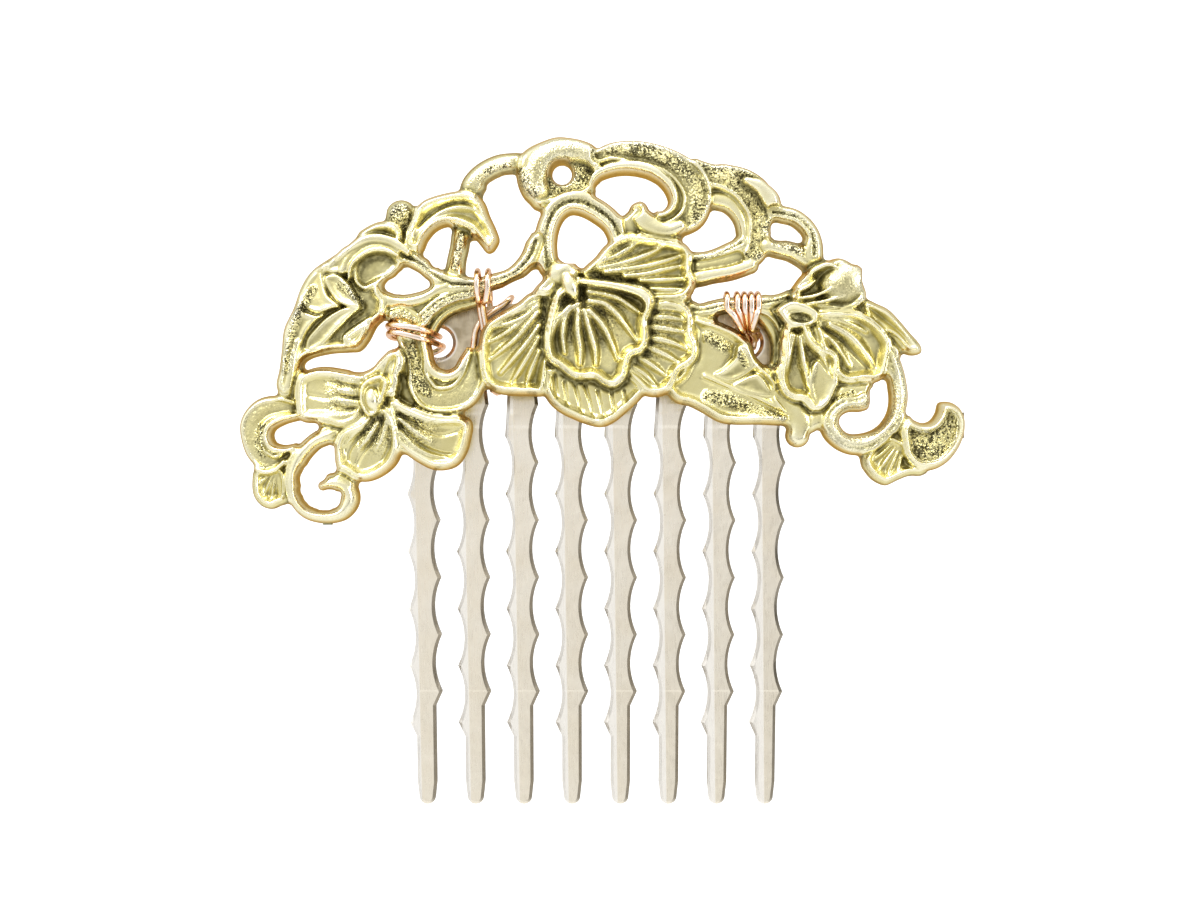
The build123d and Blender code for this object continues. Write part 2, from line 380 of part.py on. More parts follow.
def lashing(turns, stem_height, stem_top, stem_bottom, plate_top, tuck_z):
    """Wire wound over a stem, down the plate's front, through the comb and up the plate's back."""
    over_y = over_casting(stem_height)
    behind_y = CASTING_BACK + WIRE_GAP + WIRE_RADIUS
    over_z = stem_top + WIRE_GAP + WIRE_RADIUS
    under_z = stem_bottom - WIRE_GAP - WIRE_RADIUS
    points = []
    for stem_x, comb_x, comb_z, layer in turns:
        front = in_layer(-1, layer)
        back = in_layer(1, layer)
        points.append((stem_x, back, plate_top))
        points.append((stem_x, behind_y, over_z))
        points.append((stem_x, over_y, over_z))
        points.append((stem_x, over_y, under_z))
        points.append((stem_x + TUCK_SHARE * (comb_x - stem_x), front, tuck_z))
        points.append((comb_x, front, comb_z))
        points.append((comb_x, back, comb_z))
    points.append((stem_x, back, comb_z + END_LENGTH))
    return wire_along(points)


def wire_left_lower():
    """Wire wound over the lower left stem, through the plate's left lashing hole and round its end."""
    over_y = over_casting(LOWER_STEM_HEIGHT)
    front = in_layer(-1, 0)
    back = in_layer(1, 0)
    (start_x, start_z), (end_x, end_z) = LOWER_LEFT_ENDS
    points = [(start_x, back, start_z)]
    for stem_z, hole_x, hole_z in LOWER_LEFT_TURNS:
        points.append((LOWER_STEM_LEFT, back, stem_z))
        points.append((LOWER_STEM_LEFT, over_y, stem_z))
        points.append((LOWER_STEM_RIGHT, over_y, stem_z - LOWER_STEM_SLOPE))
        points.append((hole_x, front, hole_z))
        points.append((hole_x, back, hole_z))
    points.append((end_x, back, end_z))
    return wire_along(points)


def wire_left_inner():
    """Wire wound once round the plate: over its top edge and through the first gap between teeth."""
    front = in_layer(-1, 1)
    back = in_layer(1, 1)
    (start_x, start_z), (end_x, end_z) = INNER_ENDS
    top_x, top_z = INNER_PLATE_TOP
    bend_x, bend_z = INNER_BEND
    gap_x, gap_z = INNER_GAP
    return wire_along([
        (start_x, back, start_z),
        (top_x, back, top_z),
        (top_x, front, top_z),
        (bend_x, front, bend_z),
        (gap_x, front, gap_z),
        (gap_x, back, gap_z),
        (end_x, back, end_z),
    ])


def build_all():
    """Every piece in place, by name."""
    return {
        "comb_blank": comb_blank(),
        "ornament_casting": ornament_casting(),
        "wire_left_upper": lashing(UPPER_LEFT_TURNS, **UPPER_LEFT_STEM),
        "wire_left_lower": wire_left_lower(),
        "wire_left_inner": wire_left_inner(),
        "wire_right": lashing(RIGHT_TURNS, **RIGHT_STEM),
    }


if __name__ == "__main__":
    os.makedirs("parts", exist_ok=True)
    for name, solid in build_all().items():
        export_step(solid, f"parts/{name}.step")
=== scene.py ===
"""Looks of the decorative hair comb: a cast brass spray of flowers, leaves and scrolls, copper lashing wire
and a plated comb. Lengths in this file are millimetres in the row's frame (X right, Z up, -Y to the front)
until MM turns them into Blender's metres.

The casting is a relief: every scroll, petal, leaf and boss is laid over the ones before it on a fine grid of
heights above the casting's flat back. The grid then becomes one closed mesh.
"""

import json
import math

import bpy
import numpy as np
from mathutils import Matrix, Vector

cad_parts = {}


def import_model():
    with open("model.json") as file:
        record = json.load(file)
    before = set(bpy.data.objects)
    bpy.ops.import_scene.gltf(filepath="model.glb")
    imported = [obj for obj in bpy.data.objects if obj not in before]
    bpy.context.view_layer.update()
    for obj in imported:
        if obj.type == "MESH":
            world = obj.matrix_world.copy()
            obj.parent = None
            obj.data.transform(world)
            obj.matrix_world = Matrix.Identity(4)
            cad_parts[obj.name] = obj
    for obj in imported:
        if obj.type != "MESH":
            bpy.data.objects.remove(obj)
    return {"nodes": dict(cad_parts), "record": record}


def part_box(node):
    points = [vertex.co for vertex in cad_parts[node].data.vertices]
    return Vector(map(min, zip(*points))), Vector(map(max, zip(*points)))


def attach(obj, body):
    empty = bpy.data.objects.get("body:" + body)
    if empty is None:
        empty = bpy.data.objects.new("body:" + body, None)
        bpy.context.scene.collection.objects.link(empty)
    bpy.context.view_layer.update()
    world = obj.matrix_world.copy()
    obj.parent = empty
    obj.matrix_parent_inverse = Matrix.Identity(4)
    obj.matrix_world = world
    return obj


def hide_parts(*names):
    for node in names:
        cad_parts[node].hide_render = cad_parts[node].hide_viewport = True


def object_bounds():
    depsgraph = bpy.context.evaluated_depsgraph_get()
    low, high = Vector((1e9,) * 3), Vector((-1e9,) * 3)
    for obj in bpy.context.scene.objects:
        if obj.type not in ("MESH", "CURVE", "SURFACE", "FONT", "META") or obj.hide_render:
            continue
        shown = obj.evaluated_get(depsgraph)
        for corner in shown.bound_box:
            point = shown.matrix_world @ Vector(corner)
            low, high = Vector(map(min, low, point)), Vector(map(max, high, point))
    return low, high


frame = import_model()
cad_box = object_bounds()

MM = 0.001
CAST_LOW, CAST_HIGH = [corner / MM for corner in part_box("ornament_casting")]
BACK_Y = CAST_HIGH.y  # the casting's flat back
GRID = 0.14
EDGE_FOOT = 0.5  # thickness of the casting at its very edge
EDGE_RUN = 0.8  # width over which the drafted edge rises to full height
CREVICE = 0.3  # how far a shape sinks next to one that lies over it
CREVICE_WIDTH = 0.3
SOFT_EDGE = 0.3  # width over which a shape rises out of the one below it
BORDER_LINE = 0.2  # depth of the line cut between a petal's border and its rim
WEB = 0.35  # gaps narrower than twice this are closed by the casting's fillets
WEB_FLOOR = 1.1  # least height of such a fillet
OVAL_POINTS = 24  # corners of a boss's outline and of the hanging eye

WIRE_RADIUS = 0.32
WIRE_SIDES = 12
WIRE_TIP = 0.22  # length of the domed end of a wire
WIRE_TIP_SHARE = 0.6  # radius of the dome's flat, as a share of the wire's
WIRE_AIR = 0.03  # between a wire and the casting's back
PLATE_WIRE_Y = 0.97  # Y of the middle of a wire lying on either face of the comb's plate

TOOTH_PITCH = 5.19
TOOTH_LENGTH = 45  # rounded up
FACET_AT_ROOT = 0.335  # where a tooth's coined facet ends, as a share of the pitch
FACET_AT_TIP = 0.45
FACET_WIDTH = 0.155  # as a share of the pitch
LASHING_HOLES = ((-16.5, 4.5), (15.6, 4.5))  # X and Z of the two holes in the plate
HOLE_FRONT_Y = -0.75  # just in front of the plate
HOLE_HIGHLIGHT_OUTSIDE = 2.15  # distance from a hole's middle where the painted highlight on its rim begins to fade in
HOLE_HIGHLIGHT_INSIDE = 1.95

rng = np.random.default_rng(11)


# --- Curves and distances ---------------------------------------------------------------------------------

def smoothstep(low, high, value):
    t = np.clip((value - low) / (high - low), 0, 1)
    return t * t * (3 - 2 * t)


def spline(points, closed=False, steps=7):
    """Catmull-Rom curve through points of any dimension."""
    p = np.array(points, float)
    if len(p) < 3 and not closed:
        return p
    before = np.roll(p, 1, 0)
    after = np.roll(p, -1, 0)
    second = np.roll(p, -2, 0)
    if not closed:
        before[0] = p[0]
        after[-1] = p[-1]
        second[-2:] = p[-1]
    t = np.linspace(0, 1, steps, endpoint=False)[None, :, None]
    a, b, c, d = (q[:, None, :] for q in (before, p, after, second))
    squared, cubed = (2 * a - 5 * b + 4 * c - d) * t ** 2, (3 * b - a - 3 * c + d) * t ** 3
    curve = 0.5 * (2 * b + (c - a) * t + squared + cubed)
    if closed:
        return curve.reshape(-1, p.shape[1])
    return np.vstack([curve[:-1].reshape(-1, p.shape[1]), p[-1:]])


def nearest(curve, x, z, closed=False):
    """Distance from each (x, z) to a curve, the share along it, and the curve's extra columns there."""
    start = curve
    end = np.roll(curve, -1, 0)
    if not closed:
        start, end = start[:-1], end[:-1]
    best = np.full(x.shape, 1e9)
    extra = np.zeros(x.shape + (curve.shape[1] - 2,))
    along = np.zeros(x.shape)
    count = len(start)
    for i in range(count):
        run = end[i, :2] - start[i, :2]
        length2 = max(run @ run, 1e-12)
        t = np.clip(((x - start[i, 0]) * run[0] + (z - start[i, 1]) * run[1]) / length2, 0, 1)
        gap = np.hypot(x - start[i, 0] - t * run[0], z - start[i, 1] - t * run[1])
        closer = gap < best
        best = np.where(closer, gap, best)
        along = np.where(closer, (i + t) / count, along)
        for k in range(extra.shape[-1]):
            value = start[i, 2 + k] + t * (end[i, 2 + k] - start[i, 2 + k])
            extra[..., k] = np.where(closer, value, extra[..., k])
    return best, along, extra


def depth_inside(curve, x, z):
    """Distance to a closed curve: positive inside it, negative outside."""
    distance, _, _ = nearest(curve, x, z, closed=True)
    inside = np.zeros(x.shape, bool)
    end = np.roll(curve, -1, 0)
    for (ax, az), (bx, bz) in zip(curve[:, :2], end[:, :2]):
        if az != bz:
            crosses = (az > z) != (bz > z)
            inside ^= crosses & (x < ax + (z - az) / (bz - az) * (bx - ax))
    return np.where(inside, distance, -distance)


def blur(values, radius):
    """Gaussian blur of a grid; radius is in millimetres."""
    reach = int(math.ceil(2.5 * radius / GRID))
    weights = np.exp(-0.5 * (np.arange(-reach, reach + 1) * GRID / radius) ** 2)
    weights /= weights.sum()
    for axis in (0, 1):
        pad = [(0, 0), (0, 0)]
        pad[axis] = (reach, reach)
        padded = np.pad(values, pad, mode="edge")
        total = np.zeros_like(values)
        for i, weight in enumerate(weights):
            cut = [slice(None), slice(None)]
            cut[axis] = slice(i, i + values.shape[axis])
            total += weight * padded[tuple(cut)]
        values = total
    return values


def mottle(shape, size):
    """Smooth noise with the given grain size, about -1 to 1."""
    noise = blur(rng.standard_normal(shape), size)
    return noise / (2 * noise.std())


# --- The relief -------------------------------------------------------------------------------------------

GRID_X, GRID_Z = np.meshgrid(np.arange(CAST_LOW.x - 1.5, CAST_HIGH.x + 1.5, GRID),
                             np.arange(CAST_LOW.z - 1.5, CAST_HIGH.z + 1.5, GRID))
height = np.zeros(GRID_X.shape)  # above the casting's back
inside = np.full(GRID_X.shape, -5.0)  # distance to the casting's outline, negative outside it
grain = np.zeros(GRID_X.shape)  # how matted the surface is, 0 to 1
patina_and_shade = np.zeros(GRID_X.shape)  # how dark it is painted: oxide and painted shade, 0 to 1


def window(points, margin):
    """The part of the grid that a shape can touch."""
    p = np.array([q[:2] for q in points], float)
    low = p.min(0) - margin
    high = p.max(0) + margin
    columns = np.flatnonzero((GRID_X[0] >= low[0]) & (GRID_X[0] <= high[0]))
    rows = np.flatnonzero((GRID_Z[:, 0] >= low[1]) & (GRID_Z[:, 0] <= high[1]))
    return slice(rows[0], rows[-1] + 1), slice(columns[0], columns[-1] + 1)


def lay(place, depth, top, texture, dark):
    """Lays one shape over the relief. depth is the distance inside its outline, top its height."""
    below = height[place]
    fresh = inside[place] < 0
    crevice = np.exp(-np.clip(-depth, 0, 9) / CREVICE_WIDTH) * CREVICE * np.clip((top - below) / 0.6, 0, 1)
    sunk = np.where((depth < 0) & (top > below), below - crevice * (below > 0.8), below)
    cover = smoothstep(-0.04, SOFT_EDGE, depth)
    cover = np.where(fresh & (depth > -3 * GRID), 1.0, cover)
    height[place] = sunk + (top - sunk) * cover
    grain[place] += (texture - grain[place]) * cover
    # dark paints the shape darker: oxide, and painted shade where it should read as shadowed.
    patina_and_shade[place] += (dark - patina_and_shade[place]) * cover
    inside[place] = np.maximum(inside[place], depth)


def scroll(points, top, rim=0.0, floor=0.0, texture=0.0, dome=0.5, groove=0.0, groove_at=0.0, streak=1.0,
           tarnish_and_shade=0.15):
    """A strap of varying half width: (x, z, half width) along its middle. dome is how far it rounds off to
    its edges. It can have raised rims with a lower floor between them, or a matted groove along it, at
    the share groove_at of its half width. The groove and, by a given amount, the whole strap are painted
    darker: oxide and painted shade."""
    curve = spline(points)
    place = window(points, 3.2)
    x, z = GRID_X[place], GRID_Z[place]
    distance, _, extra = nearest(curve, x, z)
    half = extra[..., 0]
    depth = half - distance
    share = np.clip(distance / half, 0, 1)
    shape = top - dome * (1 - np.sqrt(np.clip(1 - 0.92 * share ** 2, 0, 1)))
    rims = np.exp(-((depth - 0.3) / 0.2) ** 2)
    shape += rim * rims - floor * smoothstep(0.35, 0.8, depth)
    channel = np.exp(-((share - groove_at) / 0.26) ** 2)
    shape -= groove * channel
    texture = np.maximum(texture * smoothstep(0.35, 0.6, depth), channel * streak * (groove > 0))
    lay(place, depth, shape, texture, np.maximum(channel * min(2.2 * groove, 0.9), tarnish_and_shade))


def leaf(outline, top, ribs=(), grooves=(), rim=0.3, dish=0.7, rib=0.9, rib_width=0.26, root=None, fall=0.0,
         texture=0.0, rim_at=0.62, tarnish_and_shade=0.0):
    """A petal or leaf: a smooth border, a fine raised rim, a dished field, raised ribs and cut grooves. With
    a root, its surface falls away from there by fall, and only the part near the root is matted."""
    curve = spline(outline, closed=True)
    place = window(outline, 1.2)
    x, z = GRID_X[place], GRID_Z[place]
    depth = depth_inside(curve, x, z)
    ridges = np.zeros(x.shape)
    for points in ribs:
        distance, along, _ = nearest(spline(points), x, z)
        fade = 1 - 0.55 * smoothstep(0.55, 1.0, along)
        width = rib_width * (1 - 0.45 * smoothstep(0.4, 1.0, along))
        ridges = np.maximum(ridges, fade * np.exp(-(distance / width) ** 2))
    hollow = dish * smoothstep(rim_at + 0.08, rim_at + 0.8, depth)
    shape = top - hollow * (1 - rib * ridges) + rim * np.exp(-((depth - rim_at) / 0.17) ** 2)
    shape -= BORDER_LINE * (rim > 0) * np.exp(-((depth - rim_at + 0.2) / 0.11) ** 2)
    shape -= 0.25 * (1 - smoothstep(0.0, 0.35, depth))  # the border's rounded edge
    for points in grooves:
        distance, along, _ = nearest(spline(points), x, z)
        shape -= 0.4 * (1 - 0.6 * along) * np.exp(-(distance / 0.17) ** 2)
    matted = texture * smoothstep(rim_at + 0.15, rim_at + 0.5, depth) * (1 - 0.8 * ridges)
    if root is not None:
        reach = np.hypot(x - root[0], z - root[1])
        reach /= max(reach[depth > 0].max(), 1e-6)
        shape -= fall * reach
        matted *= 1 - smoothstep(0.25, 0.7, reach)
    # The field inside the rim is painted darker here: oxide and painted shade.
    lay(place, depth, shape, matted, tarnish_and_shade * smoothstep(rim_at, rim_at + 0.5, depth))


def lobe(outline, top, root, fall, tarnish_and_shade=0.57):
    """A smooth fold of a leaf: high at its root and falling away from it."""
    # A lobe is painted darker by default: oxide and painted shade.
    leaf(outline, top, dish=0.2, rim=0.0, rim_at=0.1, root=root, fall=fall, tarnish_and_shade=tarnish_and_shade)


def oval(centre, half_x, half_z, turn=0.0):
    """Points round an oval that is turned by an angle in radians."""
    c, s = math.cos(turn), math.sin(turn)
    angles = np.linspace(0, 2 * math.pi, OVAL_POINTS, endpoint=False)
    return [(centre[0] + c * half_x * math.cos(a) - s * half_z * math.sin(a),
             centre[1] + s * half_x * math.cos(a) + c * half_z * math.sin(a)) for a in angles]


def boss(centre, half_x, half_z, turn, top, rise, dark=0.5, texture=0.0):
    """A smooth oval dome, or an oval cup where rise is negative."""
    place = window(oval(centre, half_x, half_z, turn), 0.6)
    c, s = math.cos(turn), math.sin(turn)
    x, z = GRID_X[place] - centre[0], GRID_Z[place] - centre[1]
    radius = np.hypot((c * x + s * z) / half_x, (c * z - s * x) / half_z)
    depth = (1 - radius) * min(half_x, half_z)
    # dark paints the dome darker: oxide and painted shade.
    lay(place, depth, top - rise * np.clip(radius, 0, 1) ** 2.4, texture, dark)


def matt(points):
    """Roughens the surface along a strap: (x, z, half width)."""
    place = window(points, 2.5)
    distance, _, extra = nearest(spline(points), GRID_X[place], GRID_Z[place])
    grain[place] = np.maximum(grain[place], 1 - smoothstep(0.4, 1.1, distance / extra[..., 0]))


def opening(outline):
    """Cuts a hole right through."""
    curve = spline(outline, closed=True)
    place = window(outline, 1.2)
    depth = depth_inside(curve, GRID_X[place], GRID_Z[place])
    inside[place] = np.minimum(inside[place], -depth)


def left_scrolls():
    """The scrolls and the bud at the left end."""
    scroll([(-20.7, 15.5, 1.3), (-20.1, 17.5, 1.6)], 1.6, texture=1, dome=0.35)
    scroll([(-30.8, -2.5, 0.9), (-32.5, -2.3, 1.2), (-34.2, -2.7, 1.4), (-35.3, -4, 1.4),
        (-35.3, -5.6, 1.3), (-34.8, -7, 1.2), (-33.8, -7.8, 1.1), (-32.7, -7.9, 0.9), (-31.6, -7.2, 0.8)],
        2, rim=0.2, floor=0.35, texture=0.15)
    matt([(-34.2, -4.4, 0.7), (-34.6, -5.8, 0.7), (-34.2, -7.2, 0.5)])
    scroll([(-30.8, -3.3, 0.4), (-32.2, -3.6, 0.5), (-33.4, -4.3, 0.5), (-33.75, -5.3, 0.5),
        (-33.3, -6.3, 0.5), (-32.3, -6.6, 0.5), (-31.2, -6.4, 0.5)], 2.5)
    leaf([(-35.2, -8.7), (-35.5, -10), (-35.4, -11.2), (-35, -12), (-34.3, -12.6), (-33.4, -12.8),
        (-32.6, -12.5), (-31.7, -12), (-31.5, -10), (-32, -8.4), (-33.6, -8.3)], 1.7,
        ribs=[[(-33.2, -8.8), (-34.8, -10.4)], [(-33, -8.8), (-34.3, -11.6)],
        [(-32.8, -8.8), (-33.5, -12.1)], [(-32.6, -8.8), (-32.6, -11.8)]], dish=0.6)
    scroll([(-35, -8.5, 0.35), (-34, -8.95, 0.4), (-32.9, -8.7, 0.4), (-32, -7.9, 0.35)], 2.3)
    scroll([(-26.5, -4.8, 0.9), (-27.9, -5.3, 0.95), (-29.2, -6, 0.9), (-30.6, -7.6, 0.95),
        (-31.2, -9.6, 0.9), (-30.9, -11.6, 0.85), (-29.8, -13, 0.8), (-28, -13.5, 0.8),
        (-26.3, -13.1, 0.95), (-25.4, -12, 1), (-25.5, -10.8, 0.95), (-26.3, -10.1, 0.9), (-27.4, -10.1, 1),
        (-28.2, -10.4, 0.5)], 2.4, groove=0.14, groove_at=0.45, streak=0.12)


def kidney():
    """The kidney-shaped ring under the left vines."""
    scroll([(-19.2, 6.6, 1.2), (-19.2, 5.3, 1.5), (-18.5, 3.4, 1.3), (-18.3, 1.5, 1.1), (-18, 0, 1.4),
        (-17, -1.3, 1.5), (-15.4, -1.5, 1.5), (-13.8, -1, 1.6), (-12.8, 0.4, 1.5), (-12.5, 2.2, 1.1),
        (-12.6, 3.8, 0.7)], 1.9, rim=0.3, floor=0.35, texture=0.15)
    scroll([(-20.3, 0.6, 0.7), (-19.8, -0.8, 0.7), (-19.2, -1.9, 0.7)], 1.2)
    matt([(-19.2, 4.6, 0.7), (-18.7, 2.8, 0.8), (-18.4, 1.2, 0.9), (-18, 0, 1), (-17.2, -0.9, 0.6)])
    scroll([(-17.7, 4.9, 0.5), (-17.4, 3.4, 0.55), (-17.1, 2, 0.6), (-16.3, 1.2, 0.6), (-15.2, 1, 0.6),
        (-14.2, 1.5, 0.6), (-13.6, 2.6, 0.55), (-13, 3.7, 0.4)], 2.1, dome=0.25)


def left_vines():
    """The crossing stems between the left flower and the centre one."""
    scroll([(-13.6, 16.2, 0.9), (-13.9, 15.6, 1), (-14.1, 14.2, 1), (-14.4, 12.8, 1), (-14.6, 11.2, 1.1)],
        1.7, dome=0.6)
    matt([(-13.8, 15.4, 0.4), (-14.1, 13.8, 0.5), (-14.5, 12, 0.4)])
    scroll([(-21, 14, 1), (-19.5, 13.2, 0.9), (-18, 12.4, 0.85), (-17, 11.6, 0.85), (-16, 10.9, 0.9),
        (-15, 10.4, 0.9), (-13.5, 10.3, 0.9), (-12, 10.3, 0.85), (-10.5, 10.7, 0.85), (-9, 11.2, 0.8),
        (-7.8, 12, 0.9), (-6.8, 13.2, 1), (-6.2, 14.8, 1)], 2.2, groove=0.5, tarnish_and_shade=0.3)
    scroll([(-11.6, 9.8, 0.6), (-13, 9.4, 0.7), (-14.5, 9.1, 0.75), (-16, 8.4, 0.75), (-17.2, 7.4, 0.75),
        (-18.2, 6.4, 0.8), (-19.3, 5.5, 1.1)], 2.1, groove=0.3, groove_at=0.3)
    scroll([(-23, 8.4, 1), (-22, 8.9, 0.9), (-20, 8.6, 0.75), (-18, 9, 0.7), (-16.6, 9.7, 0.6),
        (-15.4, 10.1, 0.5)], 2.1)
    scroll([(-20.9, 7.2, 0.9), (-19.8, 7.3, 1), (-18.6, 6.6, 0.8)], 1.8, texture=0.6)


def inner_ledges():
    """Low ledges on the casting's inner sides, next to the two lashing holes."""
    scroll([(-11.9, 8.5, 0.4), (-13, 8.4, 0.6), (-14.3, 8.1, 0.7), (-15.4, 7.5, 0.75), (-16.2, 6.7, 0.7),
        (-16.9, 5.5, 0.6)], 1.25, dome=0.7)
    scroll([(16.2, 7.2, 0.4), (17.3, 6.6, 0.6), (18.1, 5.6, 0.65), (18.5, 4.2, 0.6), (18.4, 2.4, 0.5)], 1.2,
        dome=0.7)


def scroll_leaf():
    """The long curled leaf above the left vines."""
    leaf([(-19, 17), (-18.6, 18.2), (-17.7, 19.1), (-16, 19.7), (-14, 20.05), (-12.6, 19.8), (-11.5, 18.9),
        (-10.9, 17.4), (-10.3, 16.1), (-9.95, 14.9), (-10.4, 13.9), (-11.2, 13.6), (-12, 14.5),
        (-12.9, 15.6), (-14, 16.15), (-15.2, 16.35), (-16.4, 15.9), (-17.3, 14.9), (-18, 13.6),
        (-19.4, 13.9), (-19.6, 15.6)], 2.6, dish=0.75, rim=0.3, rib_width=0.42,
        ribs=[[(-18.4, 17.6), (-17, 18.75), (-15, 19.3), (-13, 19.3), (-11.9, 18.7), (-11.3, 17.6)],
        [(-18.7, 15.2), (-16.8, 17), (-15.3, 17.85), (-13.9, 18.15), (-12.5, 17.9), (-11.6, 16.8)],
        [(-17.8, 14.2), (-16.2, 16.4), (-14, 16.6), (-12.5, 15.8), (-11.2, 14.4)]],
        grooves=[[(-18.2, 16.2), (-17, 17.4), (-15.5, 18.3), (-14, 18.7), (-12.3, 18.5)]])


def big_leaf():
    """The folded leaf at the left."""
    leaf([(-24.2, 16), (-25, 15), (-26.9, 13.5), (-29.2, 11.9), (-30.4, 10.2), (-31.2, 8), (-32.2, 5.8),
        (-32.45, 3.6), (-32.7, 1.6), (-33, 0), (-32.5, -1.1), (-31.5, -1.2), (-31, -0.2), (-30.6, 1.4),
        (-29.6, 2.6), (-27.5, 3.2), (-25.5, 3.35), (-24.3, 3.5), (-23.4, 4.5), (-22.6, 6), (-21.6, 7.1),
        (-21.4, 8.8), (-22, 10), (-20.6, 11.3), (-19.7, 12.6), (-19.6, 14.6), (-20.2, 16.4), (-22.2, 16.9)],
        2.2, dish=0.35, rim=0.25, tarnish_and_shade=0.58)
    lobe([(-30.6, 7.8), (-28.8, 7.2), (-27.6, 7.4), (-28.8, 6.3), (-29.7, 5.1), (-30.1, 3.9), (-30.5, 2.6),
        (-31.4, 1.4), (-32, 2.6), (-32.2, 4.8), (-31.8, 6.4), (-31.3, 7.5)], 2.5, (-29, 7.2), 0.5)
    lobe([(-29.9, 3.6), (-29.7, 4.8), (-28.6, 6.1), (-27.5, 7.1), (-25.8, 8), (-23.9, 7.9), (-25.1, 6.8),
        (-26.3, 5.6), (-27.3, 4.5), (-28.1, 3.8), (-29.2, 3.3)], 2.9, (-24.2, 7.8), 0.8, 0.58)
    lobe([(-30.4, 9), (-30.2, 10.3), (-29.2, 11.5), (-28.1, 11.9), (-27.8, 10.7), (-27.3, 9.2), (-26, 8),
        (-27.1, 7.6), (-28.5, 7.2), (-29.8, 7.7)], 2.9, (-26.4, 8.2), 1.1, 0.15)
    lobe([(-28, 11), (-27.3, 9.2), (-26, 8), (-24, 7.8), (-24.8, 9.8), (-25.5, 10.8), (-26.7, 11.5)], 3.1,
        (-24.2, 8), 0.9)
    lobe([(-27.8, 11.6), (-26.9, 13.4), (-25.6, 14.4), (-25.1, 13), (-25.2, 11.4), (-26.4, 11.3)], 2.8,
        (-25.4, 13.4), 0.5)
    scroll([(-26, 11.7, 0.5), (-25.2, 13.1, 0.6), (-23.8, 14.1, 0.6), (-22, 14.3, 0.6), (-20.4, 13.8, 0.5)],
        2.6, dome=0.3, tarnish_and_shade=0.58)
    leaf([(-24.9, 10.6), (-24.9, 12.2), (-23.6, 13.5), (-21.8, 13.8), (-20.3, 13.1), (-19.9, 12.2),
        (-20.9, 11), (-22.4, 10.2), (-23.8, 9.6)], 2.3, dish=0.7, rim=0, rim_at=0.1, tarnish_and_shade=0.55)
    scroll([(-26.4, 13, 0.35), (-24.8, 14.3, 0.5), (-22.8, 15, 0.6), (-20.8, 14.6, 0.6),
        (-19.3, 13.6, 0.5)], 2.8, dome=0.5, tarnish_and_shade=0.5)
    scroll([(-25.3, 10.9, 0.25), (-24.9, 12.4, 0.38), (-23.4, 13.6, 0.42), (-21.8, 13.8, 0.42),
        (-20.3, 13.2, 0.3)], 3, dome=0.6)
    scroll([(-30.6, 4.4, 0.4), (-31.1, 2.6, 0.5), (-31.3, 1.2, 0.55), (-31.6, -0.2, 0.6)], 2.4, dome=0.5,
        tarnish_and_shade=0.6)
    leaf([(-23, 7), (-24.6, 6.2), (-26, 5.1), (-25.9, 4.1), (-25, 3.5), (-24, 3.9), (-23.2, 5.2)], 2.5,
        dish=0.3, rim=0.2)


